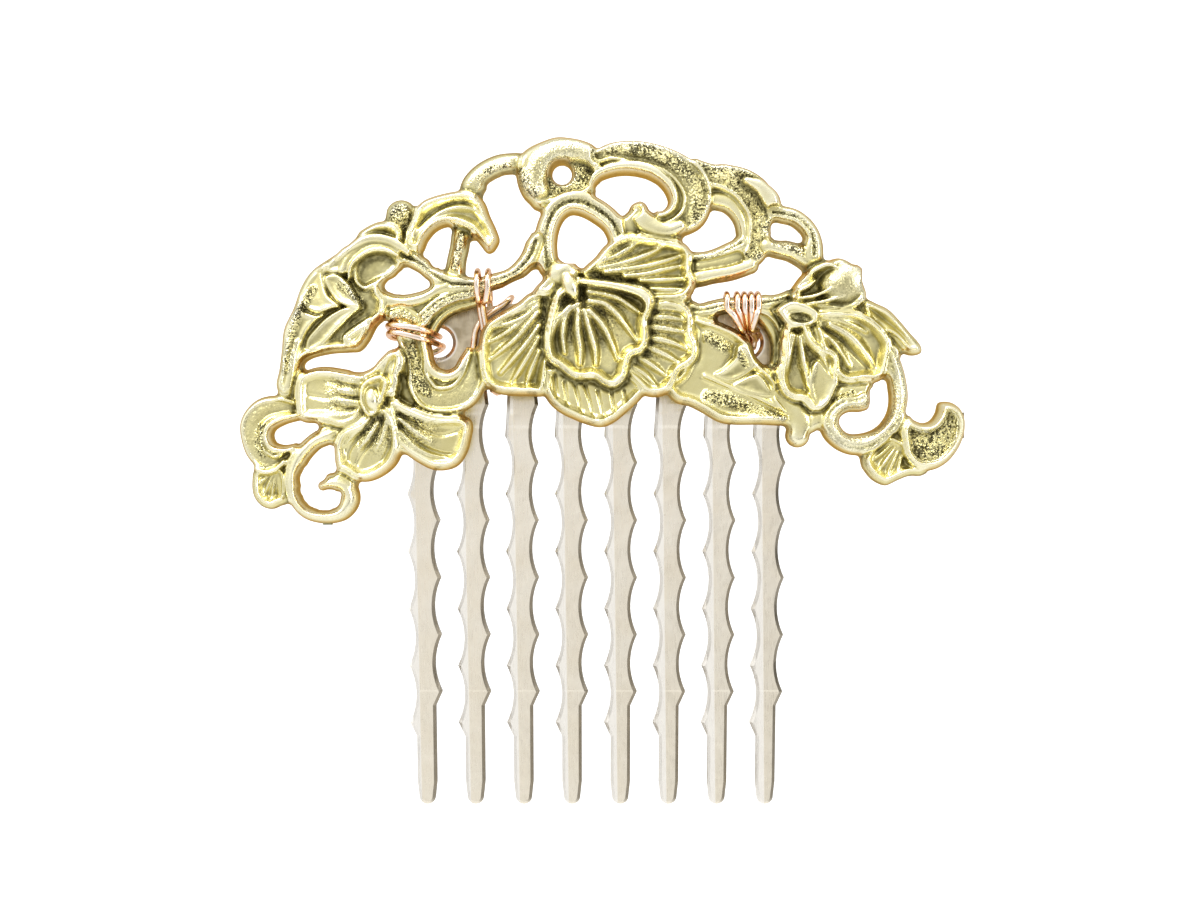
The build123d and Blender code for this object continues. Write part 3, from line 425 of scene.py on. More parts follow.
def left_flower():
    """Four petals round a small cup with a bud in it."""
    leaf([(-21.5, -1.6), (-20.8, -1.2), (-19.2, -2), (-17, -2.9), (-15.5, -3.1), (-14, -3.1), (-13, -3.5),
        (-12.7, -4.3), (-12.85, -5.4), (-13.3, -7), (-14.2, -8.3), (-15.5, -8.8), (-17, -8.7),
        (-18.7, -7.8), (-20, -6.8), (-21.4, -5)], 2.8, dish=0.5, rim=0.2, rib=0.9, root=(-20.5, -3.4),
        fall=0.5, texture=1,
        ribs=[[(-20.2, -2.6), (-18, -3), (-16.6, -3.7)], [(-20, -3.6), (-18.4, -4.9), (-17, -5.8)],
        [(-20, -4.9), (-18.8, -6.2), (-17, -7.2), (-14.6, -7.6)]],
        grooves=[[(-20.2, -2.9), (-18.8, -3.9), (-17.5, -4.7), (-16, -5.2), (-14.3, -4.8)],
        [(-20.1, -4.2), (-18.8, -5.5), (-17.4, -6.5), (-15.6, -7.1), (-14, -7)]])
    leaf([(-24.2, -3.6), (-26.2, -4.6), (-26.9, -5.9), (-27, -7.2), (-26.7, -8.7), (-25.7, -9.2),
        (-24.6, -9.9), (-23.3, -9.95), (-21.8, -9.3), (-20.5, -8.1), (-19.9, -6.4), (-20.1, -4.6),
        (-20.6, -3), (-21.6, -2), (-23.2, -2.6)], 3.1, dish=0.55, rim=0.2, rib=0.9, root=(-22.4, -3),
        fall=0.5, texture=1,
        ribs=[[(-23.3, -3.7), (-24.6, -4.9), (-25.7, -6.2)], [(-22.3, -4), (-23.4, -5.6), (-24.3, -6.6)],
        [(-21.4, -3.8), (-21.9, -5.6), (-22.5, -6.6)]],
        grooves=[[(-22.8, -3.6), (-24.2, -5.3), (-25.2, -6.6), (-25.5, -7.8)],
        [(-21.9, -3.6), (-22.8, -5.6), (-23.9, -7), (-24.5, -8.2)],
        [(-21, -4.4), (-21.1, -6.2), (-21.9, -7.8)]])
    leaf([(-30.8, 0.3), (-30.2, 1.3), (-29, 1.8), (-27.6, 1.9), (-25.6, 1.6), (-24, 1.35), (-23.4, 0.4),
        (-23.4, -1.4), (-23.9, -3.5), (-25.2, -4.4), (-26.4, -4.5), (-28, -4), (-30.1, -3.85),
        (-30.75, -3.1), (-30.9, -1.5)], 3, dish=0.4, rim=0.2, rib=0.9, rib_width=0.5, root=(-23.4, -1.2),
        fall=0.4, texture=1,
        ribs=[[(-24.2, 0.3), (-25.4, 0.4), (-26.6, 0.7)], [(-24.2, -0.8), (-25.4, -0.7), (-26.6, -0.5)],
        [(-24.2, -2), (-25.6, -1.7), (-27, -1.3)], [(-24.6, -3), (-26.2, -3.3), (-28.6, -3)]],
        grooves=[[(-24.4, -1.4), (-26.2, -1.2), (-27.6, -1.4), (-29.4, -1.1)],
        [(-24.5, -0.2), (-26, 0.1), (-27.6, 0.3)], [(-24.5, -2.4), (-25.7, -2.5), (-26.9, -2.1)]])
    leaf([(-24.2, 1.2), (-23.2, 1.8), (-22.4, 2.7), (-21.5, 3.5), (-20.5, 3.8), (-19.8, 3.4), (-19.6, 2.2),
        (-20, 0.9), (-20.2, -0.4), (-20.7, -1.4), (-22.4, -1.2), (-23.8, -0.2)], 3.1, dish=0.4, rim=0.2,
        ribs=[[(-22.2, -0.2), (-21.8, 1.4), (-21.2, 2.8)]],
        grooves=[[(-20.5, 2.7), (-20.8, 1), (-20.8, -0.8)]])
    leaf([(-24.1, -0.2), (-24.2, -1.8), (-23.8, -2.8), (-23.2, -3.4), (-22.4, -3.2), (-21.8, -2.2),
        (-21.2, -0.5), (-21.1, 0.4), (-21.9, 1.1), (-23.2, 0.7)], 3.7, dish=0.5, rim=0.2, rim_at=0.3)
    boss((-22.8, -1.5), 0.95, 1.5, 0.15, 4.3, 1.1)


def crown():
    """The scrolls along the top, with the disc that holds the hanging eye."""
    scroll([(-8.2, 22.9, 1.1), (-10, 22.7, 1.1), (-11.6, 21.8, 1.2), (-12.6, 20.6, 1.3), (-13, 19.4, 1.2)],
        1.9, dome=0.9, texture=0.2, tarnish_and_shade=0.35)
    matt([(-9, 22.6, 0.4), (-10.6, 22.2, 0.5), (-12, 21.2, 0.5)])
    scroll([(10.2, 22.4, 1), (11.8, 21.6, 1.3), (13.5, 21.3, 1.5), (15.3, 20.5, 1.8), (16.5, 19.2, 1.9),
        (16.9, 17.3, 1.5), (16.7, 15.5, 1.3), (16.4, 13.8, 1.3), (15.6, 12.9, 1.1)], 2.1, rim=0.25,
        floor=0.3, texture=1, tarnish_and_shade=0.45)
    scroll([(12.2, 19, 0.9), (13.4, 18.7, 0.9), (14.3, 17.9, 0.8), (14.9, 16.8, 0.7), (15.1, 15.5, 0.65),
        (14.9, 14.3, 0.6), (14.3, 13.2, 0.5)], 1.9, dome=0.7)
    scroll([(15.4, 20.9, 0.5), (16.9, 20.2, 0.9), (17.9, 19.1, 1.1), (18.5, 17.8, 0.8)], 2.9, dome=1.1,
        tarnish_and_shade=0.5)
    leaf([(-6, 18), (-6.9, 18.7), (-7.6, 19.5), (-8.1, 20.7), (-8.25, 22.2), (-7.9, 23.5), (-7.1, 24.4),
        (-5.7, 25.1), (-4.1, 25.6), (-2.5, 25.5), (-1.2, 25.2), (-0.2, 24.7), (0.6, 23.6), (0.6, 21.8),
        (0.2, 20.4), (-0.6, 19.4), (-2.2, 18.9), (-4.2, 18.4)], 2.3, dish=0.35, rim=0.3, texture=1)
    scroll([(0.1, 22.2, 0.6), (-0.7, 23.4, 1.1), (-2.2, 24, 1.3), (-4.2, 23.9, 1.45), (-5.8, 22.8, 1.6),
        (-6.3, 21.2, 1.5), (-5.8, 19.9, 1.1)], 3.1, dome=1.4, texture=0.35, tarnish_and_shade=0.6)
    boss((-3.45, 21.65), 1.5, 1.5, 0, 2.5, 0.2)
    scroll([(-4.9, 12.2, 1.1), (-5.2, 14.5, 1.2), (-4.9, 16.4, 1.2), (-4.1, 17.9, 1.2), (-2.8, 18.7, 1.2),
        (-1.2, 18.6, 1.25), (0.5, 17.7, 1.25), (1.7, 16.6, 1.2), (2.4, 15.2, 1.2)], 2.8, groove=0.45,
        dome=0.5)
    scroll([(0.3, 23.4, 0.9), (1.6, 23.9, 1.1), (3.4, 23.9, 1.35), (5.6, 23.6, 1.4), (7.9, 22.7, 1.5),
        (9.7, 21.2, 1.7), (10.4, 19.3, 1.65), (9.9, 17.4, 1.5), (8.4, 16.3, 1.1), (6.9, 15.9, 0.95)], 2.5,
        rim=0.3, floor=0.45, dome=0.8, texture=0.4, tarnish_and_shade=0.45)
    matt([(1.4, 24, 0.6), (4.2, 24.1, 0.9), (6.6, 23.5, 1.1), (8.6, 22.3, 1.1), (10, 21, 0.8)])
    matt([(10.6, 20.8, 0.9), (10.8, 19.2, 1.1), (10.3, 17.5, 1), (9.5, 16.7, 0.6)])
    scroll([(8.6, 16.2, 0.8), (7.2, 15.8, 0.9), (6, 16.1, 1), (5, 16.8, 1.1), (4.4, 18, 1)], 3, dome=1.1,
        tarnish_and_shade=0.5)
    scroll([(-0.4, 20.6, 0.5), (0.3, 21.6, 0.6), (2, 22.2, 0.65), (3.8, 22.3, 0.7), (5.5, 21.9, 0.7),
        (6.8, 21.1, 0.65), (7.6, 20.1, 0.6), (7.9, 19, 0.55), (7.5, 18.1, 0.5), (6.6, 17.6, 0.5)], 2.9,
        dome=0.6)
    scroll([(3.6, 15.6, 0.8), (3.3, 17, 0.6), (4.2, 17.8, 0.6)], 2.2)


def right_vines():
    """The stems between the centre and right flowers."""
    scroll([(9.8, 12.7, 0.9), (10.8, 13, 0.9), (12, 13.25, 0.9), (13.3, 13.8, 0.85), (14.9, 14.6, 0.8)],
        2.1, groove=0.4)
    scroll([(9.8, 12, 0.8), (12, 12.3, 0.8), (14.5, 13, 0.8)], 1.5)
    scroll([(9.6, 10.9, 0.9), (10.8, 11, 0.85), (12, 11.25, 0.8), (14, 11.6, 0.8), (16, 12.3, 0.8)], 2)
    scroll([(17.6, 14.3, 0.9), (18.6, 14.1, 1), (20, 13.8, 1.05), (21.4, 13.2, 1.2), (22.3, 12.6, 1.3)],
        1.9, dome=0.8, tarnish_and_shade=0.35)
    matt([(18.4, 14.5, 0.4), (19.8, 14.2, 0.6), (21.2, 13.6, 0.6)])
    scroll([(18.2, 17.7, 0.8), (19.2, 17.6, 0.9), (20.4, 17.3, 0.9), (21.4, 16.6, 0.9), (22.1, 15.7, 0.9),
        (22.4, 14.6, 1), (22.4, 13.4, 1.1)], 2, groove=0.4)
    scroll([(9.8, 7.7, 0.9), (11.5, 7.8, 0.85), (13.2, 8.15, 0.85), (15.5, 8.3, 0.85), (17.5, 8.5, 0.85),
        (19.5, 8.9, 0.9), (21, 9, 0.8)], 1.9, groove=0.35)
    scroll([(16.6, 7.6, 0.5), (17.6, 7.2, 0.6), (18.5, 6.4, 0.6), (19, 5.4, 0.5), (19.2, 3.6, 0.5)], 1.8)


def right_spiral():
    """The spiral and its two small leaves at the right end."""
    scroll([(28, -0.4, 0.6), (26.2, -0.7, 1), (24.6, -1.5, 1.1), (23.4, -2.9, 1), (22.2, -4, 0.9),
        (21.2, -4.4, 0.8)], 2, dome=0.3, tarnish_and_shade=0)
    matt([(26.4, -0.8, 0.3), (24.6, -1.6, 0.4)])
    leaf([(27.4, -7.3), (27.4, -8.3), (27.8, -9), (28.4, -9.7), (29.2, -10.2), (30, -10.35), (31.2, -9.8),
        (32.3, -9.4), (33.6, -9.35), (34.2, -8.6), (32.6, -6.4), (30.6, -5), (28.6, -5.8)], 1.7, dish=0.6,
        ribs=[[(30.8, -5.8), (29.4, -7), (28.2, -8)], [(31, -6.2), (29.8, -7.8), (28.9, -9.1)],
        [(31.2, -6.6), (30.4, -8.2), (29.9, -9.6)], [(31.5, -7), (31.1, -8.4), (30.9, -9.3)]])
    leaf([(31.2, -4.4), (31.3, -6.2), (31.6, -7.4), (32.3, -8.3), (33.4, -8.8), (34.8, -8.75), (36.2, -8),
        (37.3, -6.7), (37.95, -5.2), (38.1, -3.8), (37.7, -2.6), (36.9, -1.9), (36, -1.7), (35.3, -1.9),
        (35, -2.9), (34.4, -3.7), (33.6, -3.9), (32.8, -3.6), (32.2, -3.2)], 2.2, dish=0.75, rim=0.35,
        texture=1)
    scroll([(30.2, 3.2, 0.9), (30.8, 1.5, 0.95), (31.1, -0.1, 1), (31.2, -1.4, 1), (30.9, -2.7, 1),
        (30.2, -4, 1.05), (29.1, -5.1, 1.1), (27.9, -5.9, 1.15), (26.6, -6.1, 1.15), (25.3, -5.6, 1.15),
        (24.3, -4.6, 1.1), (24.2, -3.4, 1), (24.8, -2.5, 0.9), (25.8, -2, 0.85), (27, -1.9, 0.9),
        (27.5, -1.7, 1)], 2.5, groove=0.28, groove_at=0.35, dome=0.6, streak=0.5)


def bottom_leaf():
    """The folded leaf between the centre and right flowers."""
    leaf([(9.4, 7.2), (9.4, 5), (9.2, 3), (8.4, 1.4), (7.4, 0.4), (7.2, -0.7), (8.2, -1.8), (9.6, -2.2),
        (11, -2.9), (12.6, -3.8), (14.2, -4.1), (17, -4.1), (19.7, -4.2), (20.2, -3.8), (19.8, -2.4),
        (19, -1.2), (18.9, 0.2), (18.2, 1.3), (17.3, 2.1), (16.5, 3), (16.1, 4.2), (15.2, 5.2), (14.2, 5.9),
        (12.8, 6.5), (11.4, 6.9)], 2, dish=0.5, rim=0.3, rib=1, rib_width=0.45,
        ribs=[[(19.8, -3.3), (18.2, -2.2), (16.6, -1.4), (14.6, -0.7), (13.2, 0), (11.2, 0.9)]],
        grooves=[[(19.5, -3.1), (18.2, -2.5), (16.8, -1.8), (15.5, -1.2), (14, -0.6), (13.2, -0.3),
        (11, 0.6)]])
    lobe([(13.9, -0.1), (14.9, 0.7), (16.1, 1.2), (17, 1), (18.3, -0.9), (17.8, -1.4), (15.8, -1.1)], 2.3,
        (17.2, 0.6), 0.6)
    lobe([(14.5, 4.1), (15.7, 3.9), (16.5, 2.4), (16.1, 1.3), (13.9, 0.2), (11.9, 1), (13, 1.7),
        (14.1, 2.8)], 2.6, (14.4, 3.6), 0.9)
    scroll([(18.6, -0.9, 0.6), (19.7, -1.7, 0.8), (20.6, -2.7, 1), (21, -3.9, 1.2), (20.8, -5.2, 1.25)],
        2.1, dome=0.6, tarnish_and_shade=0)


def right_flower():
    """A sepal, a bud, two petals and the cup between them."""
    leaf([(27, 8.4), (28, 8.8), (29, 8.4), (30.2, 7.8), (31.3, 6.7), (32.4, 5.4), (33.5, 4.1), (33.5, 3.3),
        (32.6, 3.05), (31.6, 3.4), (30.2, 4.8), (28.2, 5.6)], 1.9, dish=0.35, rim=0.3,
        ribs=[[(28, 7.2), (30.2, 5.6), (32.2, 3.9)]],
        grooves=[[(28.3, 7.8), (30, 6.5), (31.5, 5.2), (33, 4)]])
    leaf([(20.3, 9.9), (21, 10.9), (22.1, 12.1), (23.4, 12.65), (25, 13.1), (26.3, 12.6), (27.1, 11.6),
        (27.6, 10.4), (27.9, 9.2), (27.2, 8.2), (24.5, 7.4), (21.6, 7.4), (20, 8.6)], 2.7, dish=0.7,
        rim=0.12, rib=0.95, tarnish_and_shade=0.3)
    boss((25.3, 10.3), 2.7, 2.3, 0.6, 3.4, 1.3, 0.72, 0.25)
    for points in (
        [(20.5, 10, 0.3), (21.7, 11.3, 0.4), (23.4, 12.2, 0.4), (24.5, 12, 0.25)],
        [(20.6, 9.6, 0.3), (21.6, 10, 0.36), (22.5, 10.7, 0.2)],
        [(20.6, 8.8, 0.3), (22.5, 9.1, 0.36), (24.5, 10.1, 0.15)],
        [(21.2, 8.2, 0.3), (23.4, 8.5, 0.34), (25.4, 9.1, 0.15)],
    ):
        scroll(points, 3.3, dome=0.7, tarnish_and_shade=0.1)
    leaf([(21.8, 7.3), (23.4, 7.8), (25.5, 7.8), (27.2, 7.5), (28.6, 6.7), (29.7, 5.6), (30.4, 4.2),
        (30.2, 2.6), (29.8, 1), (29, 0.3), (27.5, 0.2), (25.8, 0), (24.4, 0.8), (23, 3)], 3, dish=1,
        rim=0.4, rib=0.95, rib_width=0.6, root=(22.4, 6.2), fall=0.6, texture=0.6,
        ribs=[[(22.9, 6.9), (24.9, 6.6), (27.7, 5.5)], [(24, 6.1), (25.7, 5.2), (27.4, 3.5), (28.7, 1.6)],
        [(22.6, 5.5), (24.4, 4), (25.8, 2)]],
        grooves=[[(22.5, 6.1), (24.9, 4.9), (26.6, 3.1), (28, 1.7)], [(23.6, 4.6), (25.2, 2.7), (26, 1.2)]])
    leaf([(19.2, 6.2), (18.85, 4.5), (18.75, 3), (18.5, 1.5), (18.5, 0.2), (19.1, -1.1), (20.2, -1.75),
        (21.2, -1.9), (21.9, -2.6), (22.9, -2.75), (23.8, -2.1), (24.5, -0.7), (24.9, 0.8), (25.05, 2.4),
        (24.5, 3.5), (23.2, 4.1), (22.2, 5), (21.6, 6.4), (20.2, 6.8)], 3.3, dish=1.1, rim=0.35, rib=0.95,
        rib_width=0.42, root=(20.6, 5.4), fall=0.5, texture=0.6,
        ribs=[[(20.2, 5), (19.8, 3.4), (19.6, 1.4)], [(20.8, 4.8), (21.1, 3), (21.5, 1), (21.9, -0.8)],
        [(22, 4.4), (23.2, 2.8), (23.9, 1.2)]])
    lobe([(21.8, 1.2), (22.2, 2.3), (22.9, 2.6), (23.9, 1.2), (24.4, 0.4), (24, -1), (23.3, -2),
        (22.5, -2.3), (21.9, -1.4), (21.6, 0)], 2.75, (22.9, 1.6), 0.2, 0.1)
    leaf([(18.5, 7.6), (19.3, 8.4), (20.4, 8.6), (22.2, 7.9), (22.8, 7.1), (22.4, 6.2), (21.2, 5.8),
        (20, 5.6), (19.1, 6.3)], 3.6, dish=0.3, rim=0, rim_at=0.3)
    boss((20.9, 6.8), 1.5, 0.68, -0.15, 2.7, -0.8, 0.85, 0.5)


def centre_flower():
    """Five petals, the front one high, with its cap and stamen."""
    leaf([(-5.4, 1.8), (-5.65, 0.6), (-5.5, -0.6), (-4.9, -1.8), (-3.8, -2.8), (-2.2, -3.6), (-0.6, -4.2),
        (0.7, -4.35), (1.9, -3.85), (3.2, -2.8), (4.6, -1.5), (5.2, -0.4), (3.4, 1.6), (-2, 2.4)], 2.4,
        dish=0.3, rim=0.25,
        grooves=[[(-3.2, 0.3), (-2.9, -2)], [(-2.1, 0), (-1.4, -3)], [(-1.1, 0), (-0.1, -3.6)],
        [(0.2, -0.6), (0.8, -3.3)], [(1.6, -0.8), (1.9, -3)], [(-4.2, 1), (-4, -1.2)],
        [(2.9, -0.6), (3.1, -2.2)]])
    leaf([(-6.6, 9.6), (-8, 8.6), (-9, 8), (-10.4, 7.2), (-11.4, 6.4), (-12.05, 5), (-12.15, 3.2),
        (-12, 1.3), (-11.5, 0), (-10.4, -0.8), (-8.8, -1.1), (-6.8, -1.15), (-5.2, -0.9), (-4.6, 2),
        (-4.2, 6), (-4.2, 9.6)], 2.9, dish=0.9, rim=0.35, rib=0.95, rib_width=0.42, root=(-5.6, 8.2),
        fall=0.6, texture=1,
        ribs=[[(-6, 8.5), (-7.5, 7.7), (-9.4, 6.9)], [(-5.9, 8.2), (-7.4, 6.7), (-8.8, 5.6), (-10.9, 4.4)],
        [(-5.9, 7.4), (-7.2, 5.9), (-8.4, 4.6), (-10.9, 2.6)], [(-5.8, 6), (-7.4, 3.9), (-9.8, 1.2)],
        [(-5.8, 4.8), (-7.2, 2.5), (-8.6, 0.3)], [(-5.8, 3.4), (-6.6, 1.6), (-7.1, 0.1)],
        [(-5.9, 8), (-8, 6.6), (-10.8, 5.8)]])
    leaf([(-1.9, 11.4), (-1.2, 12.2), (-0.1, 13.2), (0.8, 14.3), (2, 15.2), (3.4, 15.6), (5, 15.5),
        (7, 15.2), (8.6, 14.9), (9.6, 14.2), (10, 13), (9.9, 11.8), (10.25, 10.6), (9.9, 9.3), (8.4, 8.4),
        (5, 8.4), (1, 9.4), (-1.2, 10.4)], 3, dish=1, rim=0.35, rib=0.95, rib_width=0.42, root=(0, 11),
        fall=0.4, texture=1,
        ribs=[[(-0.4, 12.3), (1.7, 13), (3.4, 14), (4.8, 15)],
        [(0.4, 11.9), (3, 12.5), (5.4, 13.4), (7.2, 14.4)],
        [(1, 11.5), (3, 11.8), (5.4, 12.2), (7.4, 12.8), (9.1, 13.4)],
        [(3, 11.1), (5, 11.3), (7, 11.8), (9.2, 12.3)], [(4.6, 10.6), (6.6, 10.7), (9.3, 10.9)],
        [(5.6, 9.8), (7.4, 9.7), (9.2, 9.8)]])
    leaf([(4.6, 9.3), (6.1, 8.9), (7.4, 8.95), (8.8, 8.6), (9.8, 7.7), (10.1, 6.5), (10.05, 5.4),
        (10.5, 4.2), (10.45, 2.8), (9.8, 1.9), (8.7, 1.2), (8.2, 0.2), (7.5, -0.8), (6.4, -1.25),
        (5.1, -1.1), (4, -0.1), (2.8, 1.4), (3.2, 5)], 2.9, dish=0.75, rim=0.3, rib=0.95, rib_width=0.4,
        root=(4.5, 6), fall=0.3, texture=1,
        ribs=[[(5.6, 7.9), (7.6, 7.8), (9.2, 7.4)], [(5.4, 6.9), (7.4, 6.9), (9.4, 6.6)],
        [(5.4, 5.9), (7.4, 5.7), (9.4, 5.3)], [(5.4, 4.8), (7.5, 4.4), (9.6, 3.5)],
        [(5.2, 3.9), (7, 3.1), (8.8, 2.1)], [(4.2, 2.9), (5.7, 2), (7.3, 0.8)],
        [(3.8, 1.8), (5, 1), (6.3, -0.3)]])
    leaf([(-4.2, 9.4), (-4.7, 8.2), (-5.1, 6.6), (-5.4, 5), (-5.35, 3.4), (-4.9, 2.3), (-3.9, 1.6),
        (-2.8, 0.7), (-1.8, 0.35), (-0.3, 0.4), (0.5, -0.1), (1.4, -0.45), (2.3, -0.3), (3.1, 0.5),
        (3.45, 1.8), (3.8, 2.7), (4.8, 3.1), (5.4, 4.1), (5.5, 5.2), (5.4, 6.4), (5.9, 7.6), (6.05, 8.7),
        (5.5, 9.7), (4.2, 10.3), (1.8, 10.65), (-0.6, 10.95), (-2.4, 10.9)], 3.9, dish=1.3, rim=0.45,
        rib=0.95, rib_width=0.48, root=(-1.4, 8.4), fall=-0.4, texture=1,
        ribs=[[(-1.8, 8.2), (-3, 7.2), (-3.4, 5.2), (-3.2, 3.2)],
        [(-1.8, 7.6), (-1.9, 5.8), (-1.6, 3.6), (-1.6, 2)], [(-1.2, 7.5), (-0.6, 5.4), (-0.1, 3.6), (0, 2)],
        [(-0.7, 7.5), (0.3, 6.5), (1.2, 5.1), (2.2, 2.6)],
        [(-0.7, 8.5), (0.7, 8.3), (1.9, 7.4), (2.8, 6.3), (4.1, 4.5)],
        [(-0.8, 9.5), (0.8, 9.2), (2.4, 8.7), (4.6, 7.2)], [(-2.6, 8), (-4, 6.4), (-4.6, 4.6)]])
    scroll([(-1.4, 10.4, 0.4), (1, 10.1, 0.45), (3, 9.7, 0.5), (4.5, 9.1, 0.5), (5.2, 8.3, 0.45),
        (5.2, 7.5, 0.3)], 4.7, dome=0.6)
    leaf([(-6.6, 9.5), (-5.6, 10.8), (-4.6, 11.6), (-3.6, 11.2), (-3.8, 9.8), (-4.6, 9), (-5.6, 8.9)], 3.4,
        dish=0.2, rim=0.2)
    boss((-3.3, 11.4), 1.7, 1.5, 0, 4.2, 0.9)
    boss((-2.6, 10), 1.7, 0.95, -1.15, 4.8, 1, 0.75)


def stipple():
    """Matted patches on the leaves and scrolls."""
    for points in (
        [(11.5, -1.2, 0.8), (13.5, -1.6, 1), (15.5, -2.3, 0.8), (17.5, -2.9, 0.6), (19.2, -3.4, 0.4)],
        [(11.6, 4.9, 0.8), (13.2, 4, 0.9)],
        [(14.7, 3.2, 0.5), (15.3, 2, 0.5)],
        [(-31.8, 1.4, 0.5), (-31.3, 4.2, 0.6), (-30.5, 7, 0.6), (-29, 9.8, 0.5)],
        [(-24.2, 8.6, 0.5), (-26, 10.2, 0.6)],
        [(-7.5, 21.8, 0.6), (-7.2, 20.4, 0.8), (-6.2, 19.6, 0.6)],
        [(-1.5, 20.8, 0.5), (-0.6, 21.6, 0.5)],
        [(-0.6, 24.3, 0.3), (-0.2, 23.4, 0.4)],
    ):
        matt(points)


def openings():
    """The holes between the shapes, and the hanging eye."""
    for outline in (
        [(-28.9, -4.4), (-29.2, -4), (-31, -3.85), (-32.2, -4.2), (-33, -4.9), (-33, -5.8), (-32.3, -6.15),
         (-31.3, -6.05), (-30.4, -5.7), (-29.6, -5.1)],
        [(-17.4, 13.5), (-17.2, 14.8), (-16.7, 15.5), (-16, 15.9), (-15.4, 16), (-15.2, 15.4),
         (-15.2, 14.4), (-15.4, 13.4), (-15.9, 12.4), (-16.4, 12.1), (-17, 12.5)],
        [(-21.9, 10.2), (-21.5, 10.8), (-20.8, 11.2), (-20, 12), (-19.6, 11.7), (-19, 11.2), (-18.2, 10.4),
         (-18.5, 10), (-19.1, 9.6), (-20, 9.5), (-20.7, 9.4), (-21.9, 9.9)],
        [(-9.9, 9.7), (-8.9, 10.5), (-7, 11.3), (-6.2, 11.5), (-6, 11), (-6.6, 9.9), (-8, 8.9), (-9, 8.5)],
        [(-16.7, 3.3), (-16.3, 2.3), (-15.7, 1.9), (-15, 2.1), (-14.2, 3), (-13.4, 3.9), (-12.3, 3.9),
         (-11.9, 5.5), (-11.3, 6.7), (-10.3, 7.5), (-9.1, 8.3), (-9.5, 8.9), (-10.7, 8.9), (-11.6, 8.2),
         (-12.7, 7.8), (-14, 7.5), (-15.2, 6.9), (-16, 6), (-16.6, 4.7)],
        [(-29, 2), (-27.5, 2.6), (-26, 3.1), (-24.2, 3.2), (-23.5, 3.9), (-22.6, 5.5), (-21.4, 6.1),
         (-21, 5), (-20.8, 4), (-21.5, 3.5), (-22.4, 2.6), (-23, 1.9), (-24, 1.4), (-25, 1.4), (-25.8, 1.7),
         (-27, 1.95)],
        [(-3.6, 14.6), (-3.6, 15.6), (-3.2, 16.6), (-2.4, 17.2), (-1.6, 17.3), (-0.8, 16.9), (0, 16.2),
         (0.5, 15.4), (0.6, 14.9), (0.2, 14.5), (-0.8, 14), (-1.8, 13.5), (-2.8, 13.2), (-3.3, 13.5)],
        [(-11.3, 20.5), (-10.6, 21.2), (-9.6, 21.6), (-8.4, 21.6), (-8.2, 20.8), (-7.9, 19.8), (-7.2, 18.9),
         (-6.6, 18.2), (-6.3, 17.3), (-6.4, 16.2), (-6.9, 15.3), (-7.5, 14.4), (-8, 13.3), (-9.5, 12.1),
         (-10.7, 11.6), (-12.9, 11.2), (-13.2, 12), (-12.9, 13.8), (-12.4, 14.6), (-11.2, 13.6),
         (-10.5, 13.8), (-9.9, 15.3), (-10.8, 17.7), (-11, 18.8)],
        [(0, 20), (0.1, 20.6), (0.9, 21.2), (2, 21.5), (3.5, 21.5), (4.8, 21.4), (5.8, 21), (6.6, 20.4),
         (7.4, 19), (7, 18.1), (6.2, 18), (5.6, 18.8), (4.8, 19.05), (3.7, 18.6), (3.2, 17.7), (2.7, 17.7),
         (2, 18.3), (1, 19.2)],
        [(11.8, 17.3), (12.8, 17.6), (13.3, 17.4), (13.9, 16.8), (14.2, 16.1), (14.3, 15.4), (14.1, 15),
         (13.3, 14.6), (12.2, 14.1), (11.2, 13.8), (10.3, 13.75), (10, 14), (10.2, 14.8), (11, 15.8),
         (11.5, 16.7)],
        [(10.1, 9.3), (10.4, 9.7), (11.5, 9.95), (13, 10.3), (14.5, 10.8), (16, 11.3), (17.3, 12.3),
         (18.2, 12.4), (19.2, 12.1), (20, 11.3), (20.4, 10.7), (19.9, 9.95), (19, 9.5), (18, 9.3),
         (17.1, 9.35), (13.1, 9), (12, 8.8), (11, 8.5), (10.4, 8.5)],
        [(18.2, 16.8), (19.5, 16.4), (20.3, 16.1), (20.6, 15.7), (20.6, 15.2), (20.3, 15), (18.3, 15.1)],
        [(13.2, 6.6), (13.9, 7.1), (15, 7.1), (16.3, 6.7), (17.1, 6), (17.7, 5.1), (18, 4.1), (18, 3.1),
         (17.9, 2.3), (17.6, 2), (17, 2.4), (16.6, 3), (16.4, 3.6), (16.2, 4.2), (15.8, 4.9), (15, 5.5),
         (14, 6), (13.3, 6.5)],
        [(28.3, -0.6), (28.7, -0.15), (29.5, -0.05), (30, -0.2), (30.2, -0.9), (30.2, -2), (29.9, -3.1),
         (29.2, -4.1), (28.3, -4.7), (27.2, -5), (26.1, -5), (25.4, -4.5), (25.2, -3.8), (25.5, -3.2),
         (26.3, -2.8), (27.5, -2.8), (28.1, -2.4), (28.3, -1.7)],
    ):
        opening(outline)
    eye = frame["record"]["mounts"][1]
    centre = eye["pos_m"][0] / MM, eye["pos_m"][2] / MM
    opening(oval(centre, eye["dims"]["r_mm"], eye["dims"]["r_mm"]))


def distance_to_outside(field, reach):
    """Distance from each point where field is positive to where it is negative, up to reach. Negative values
    of field are distances too, so the result is finer than the grid."""
    steps = int(math.ceil(reach / GRID))
    outside = np.pad(np.where(field < 0, field, 9.0), steps, constant_values=-9.0)
    rows, columns = field.shape
    best = np.full(field.shape, reach)
    for i in range(-steps, steps + 1):
        for j in range(-steps, steps + 1):
            shifted = outside[steps + i:steps + i + rows, steps + j:steps + j + columns]
            best = np.minimum(best, math.hypot(i, j) * GRID + shifted)
    return best


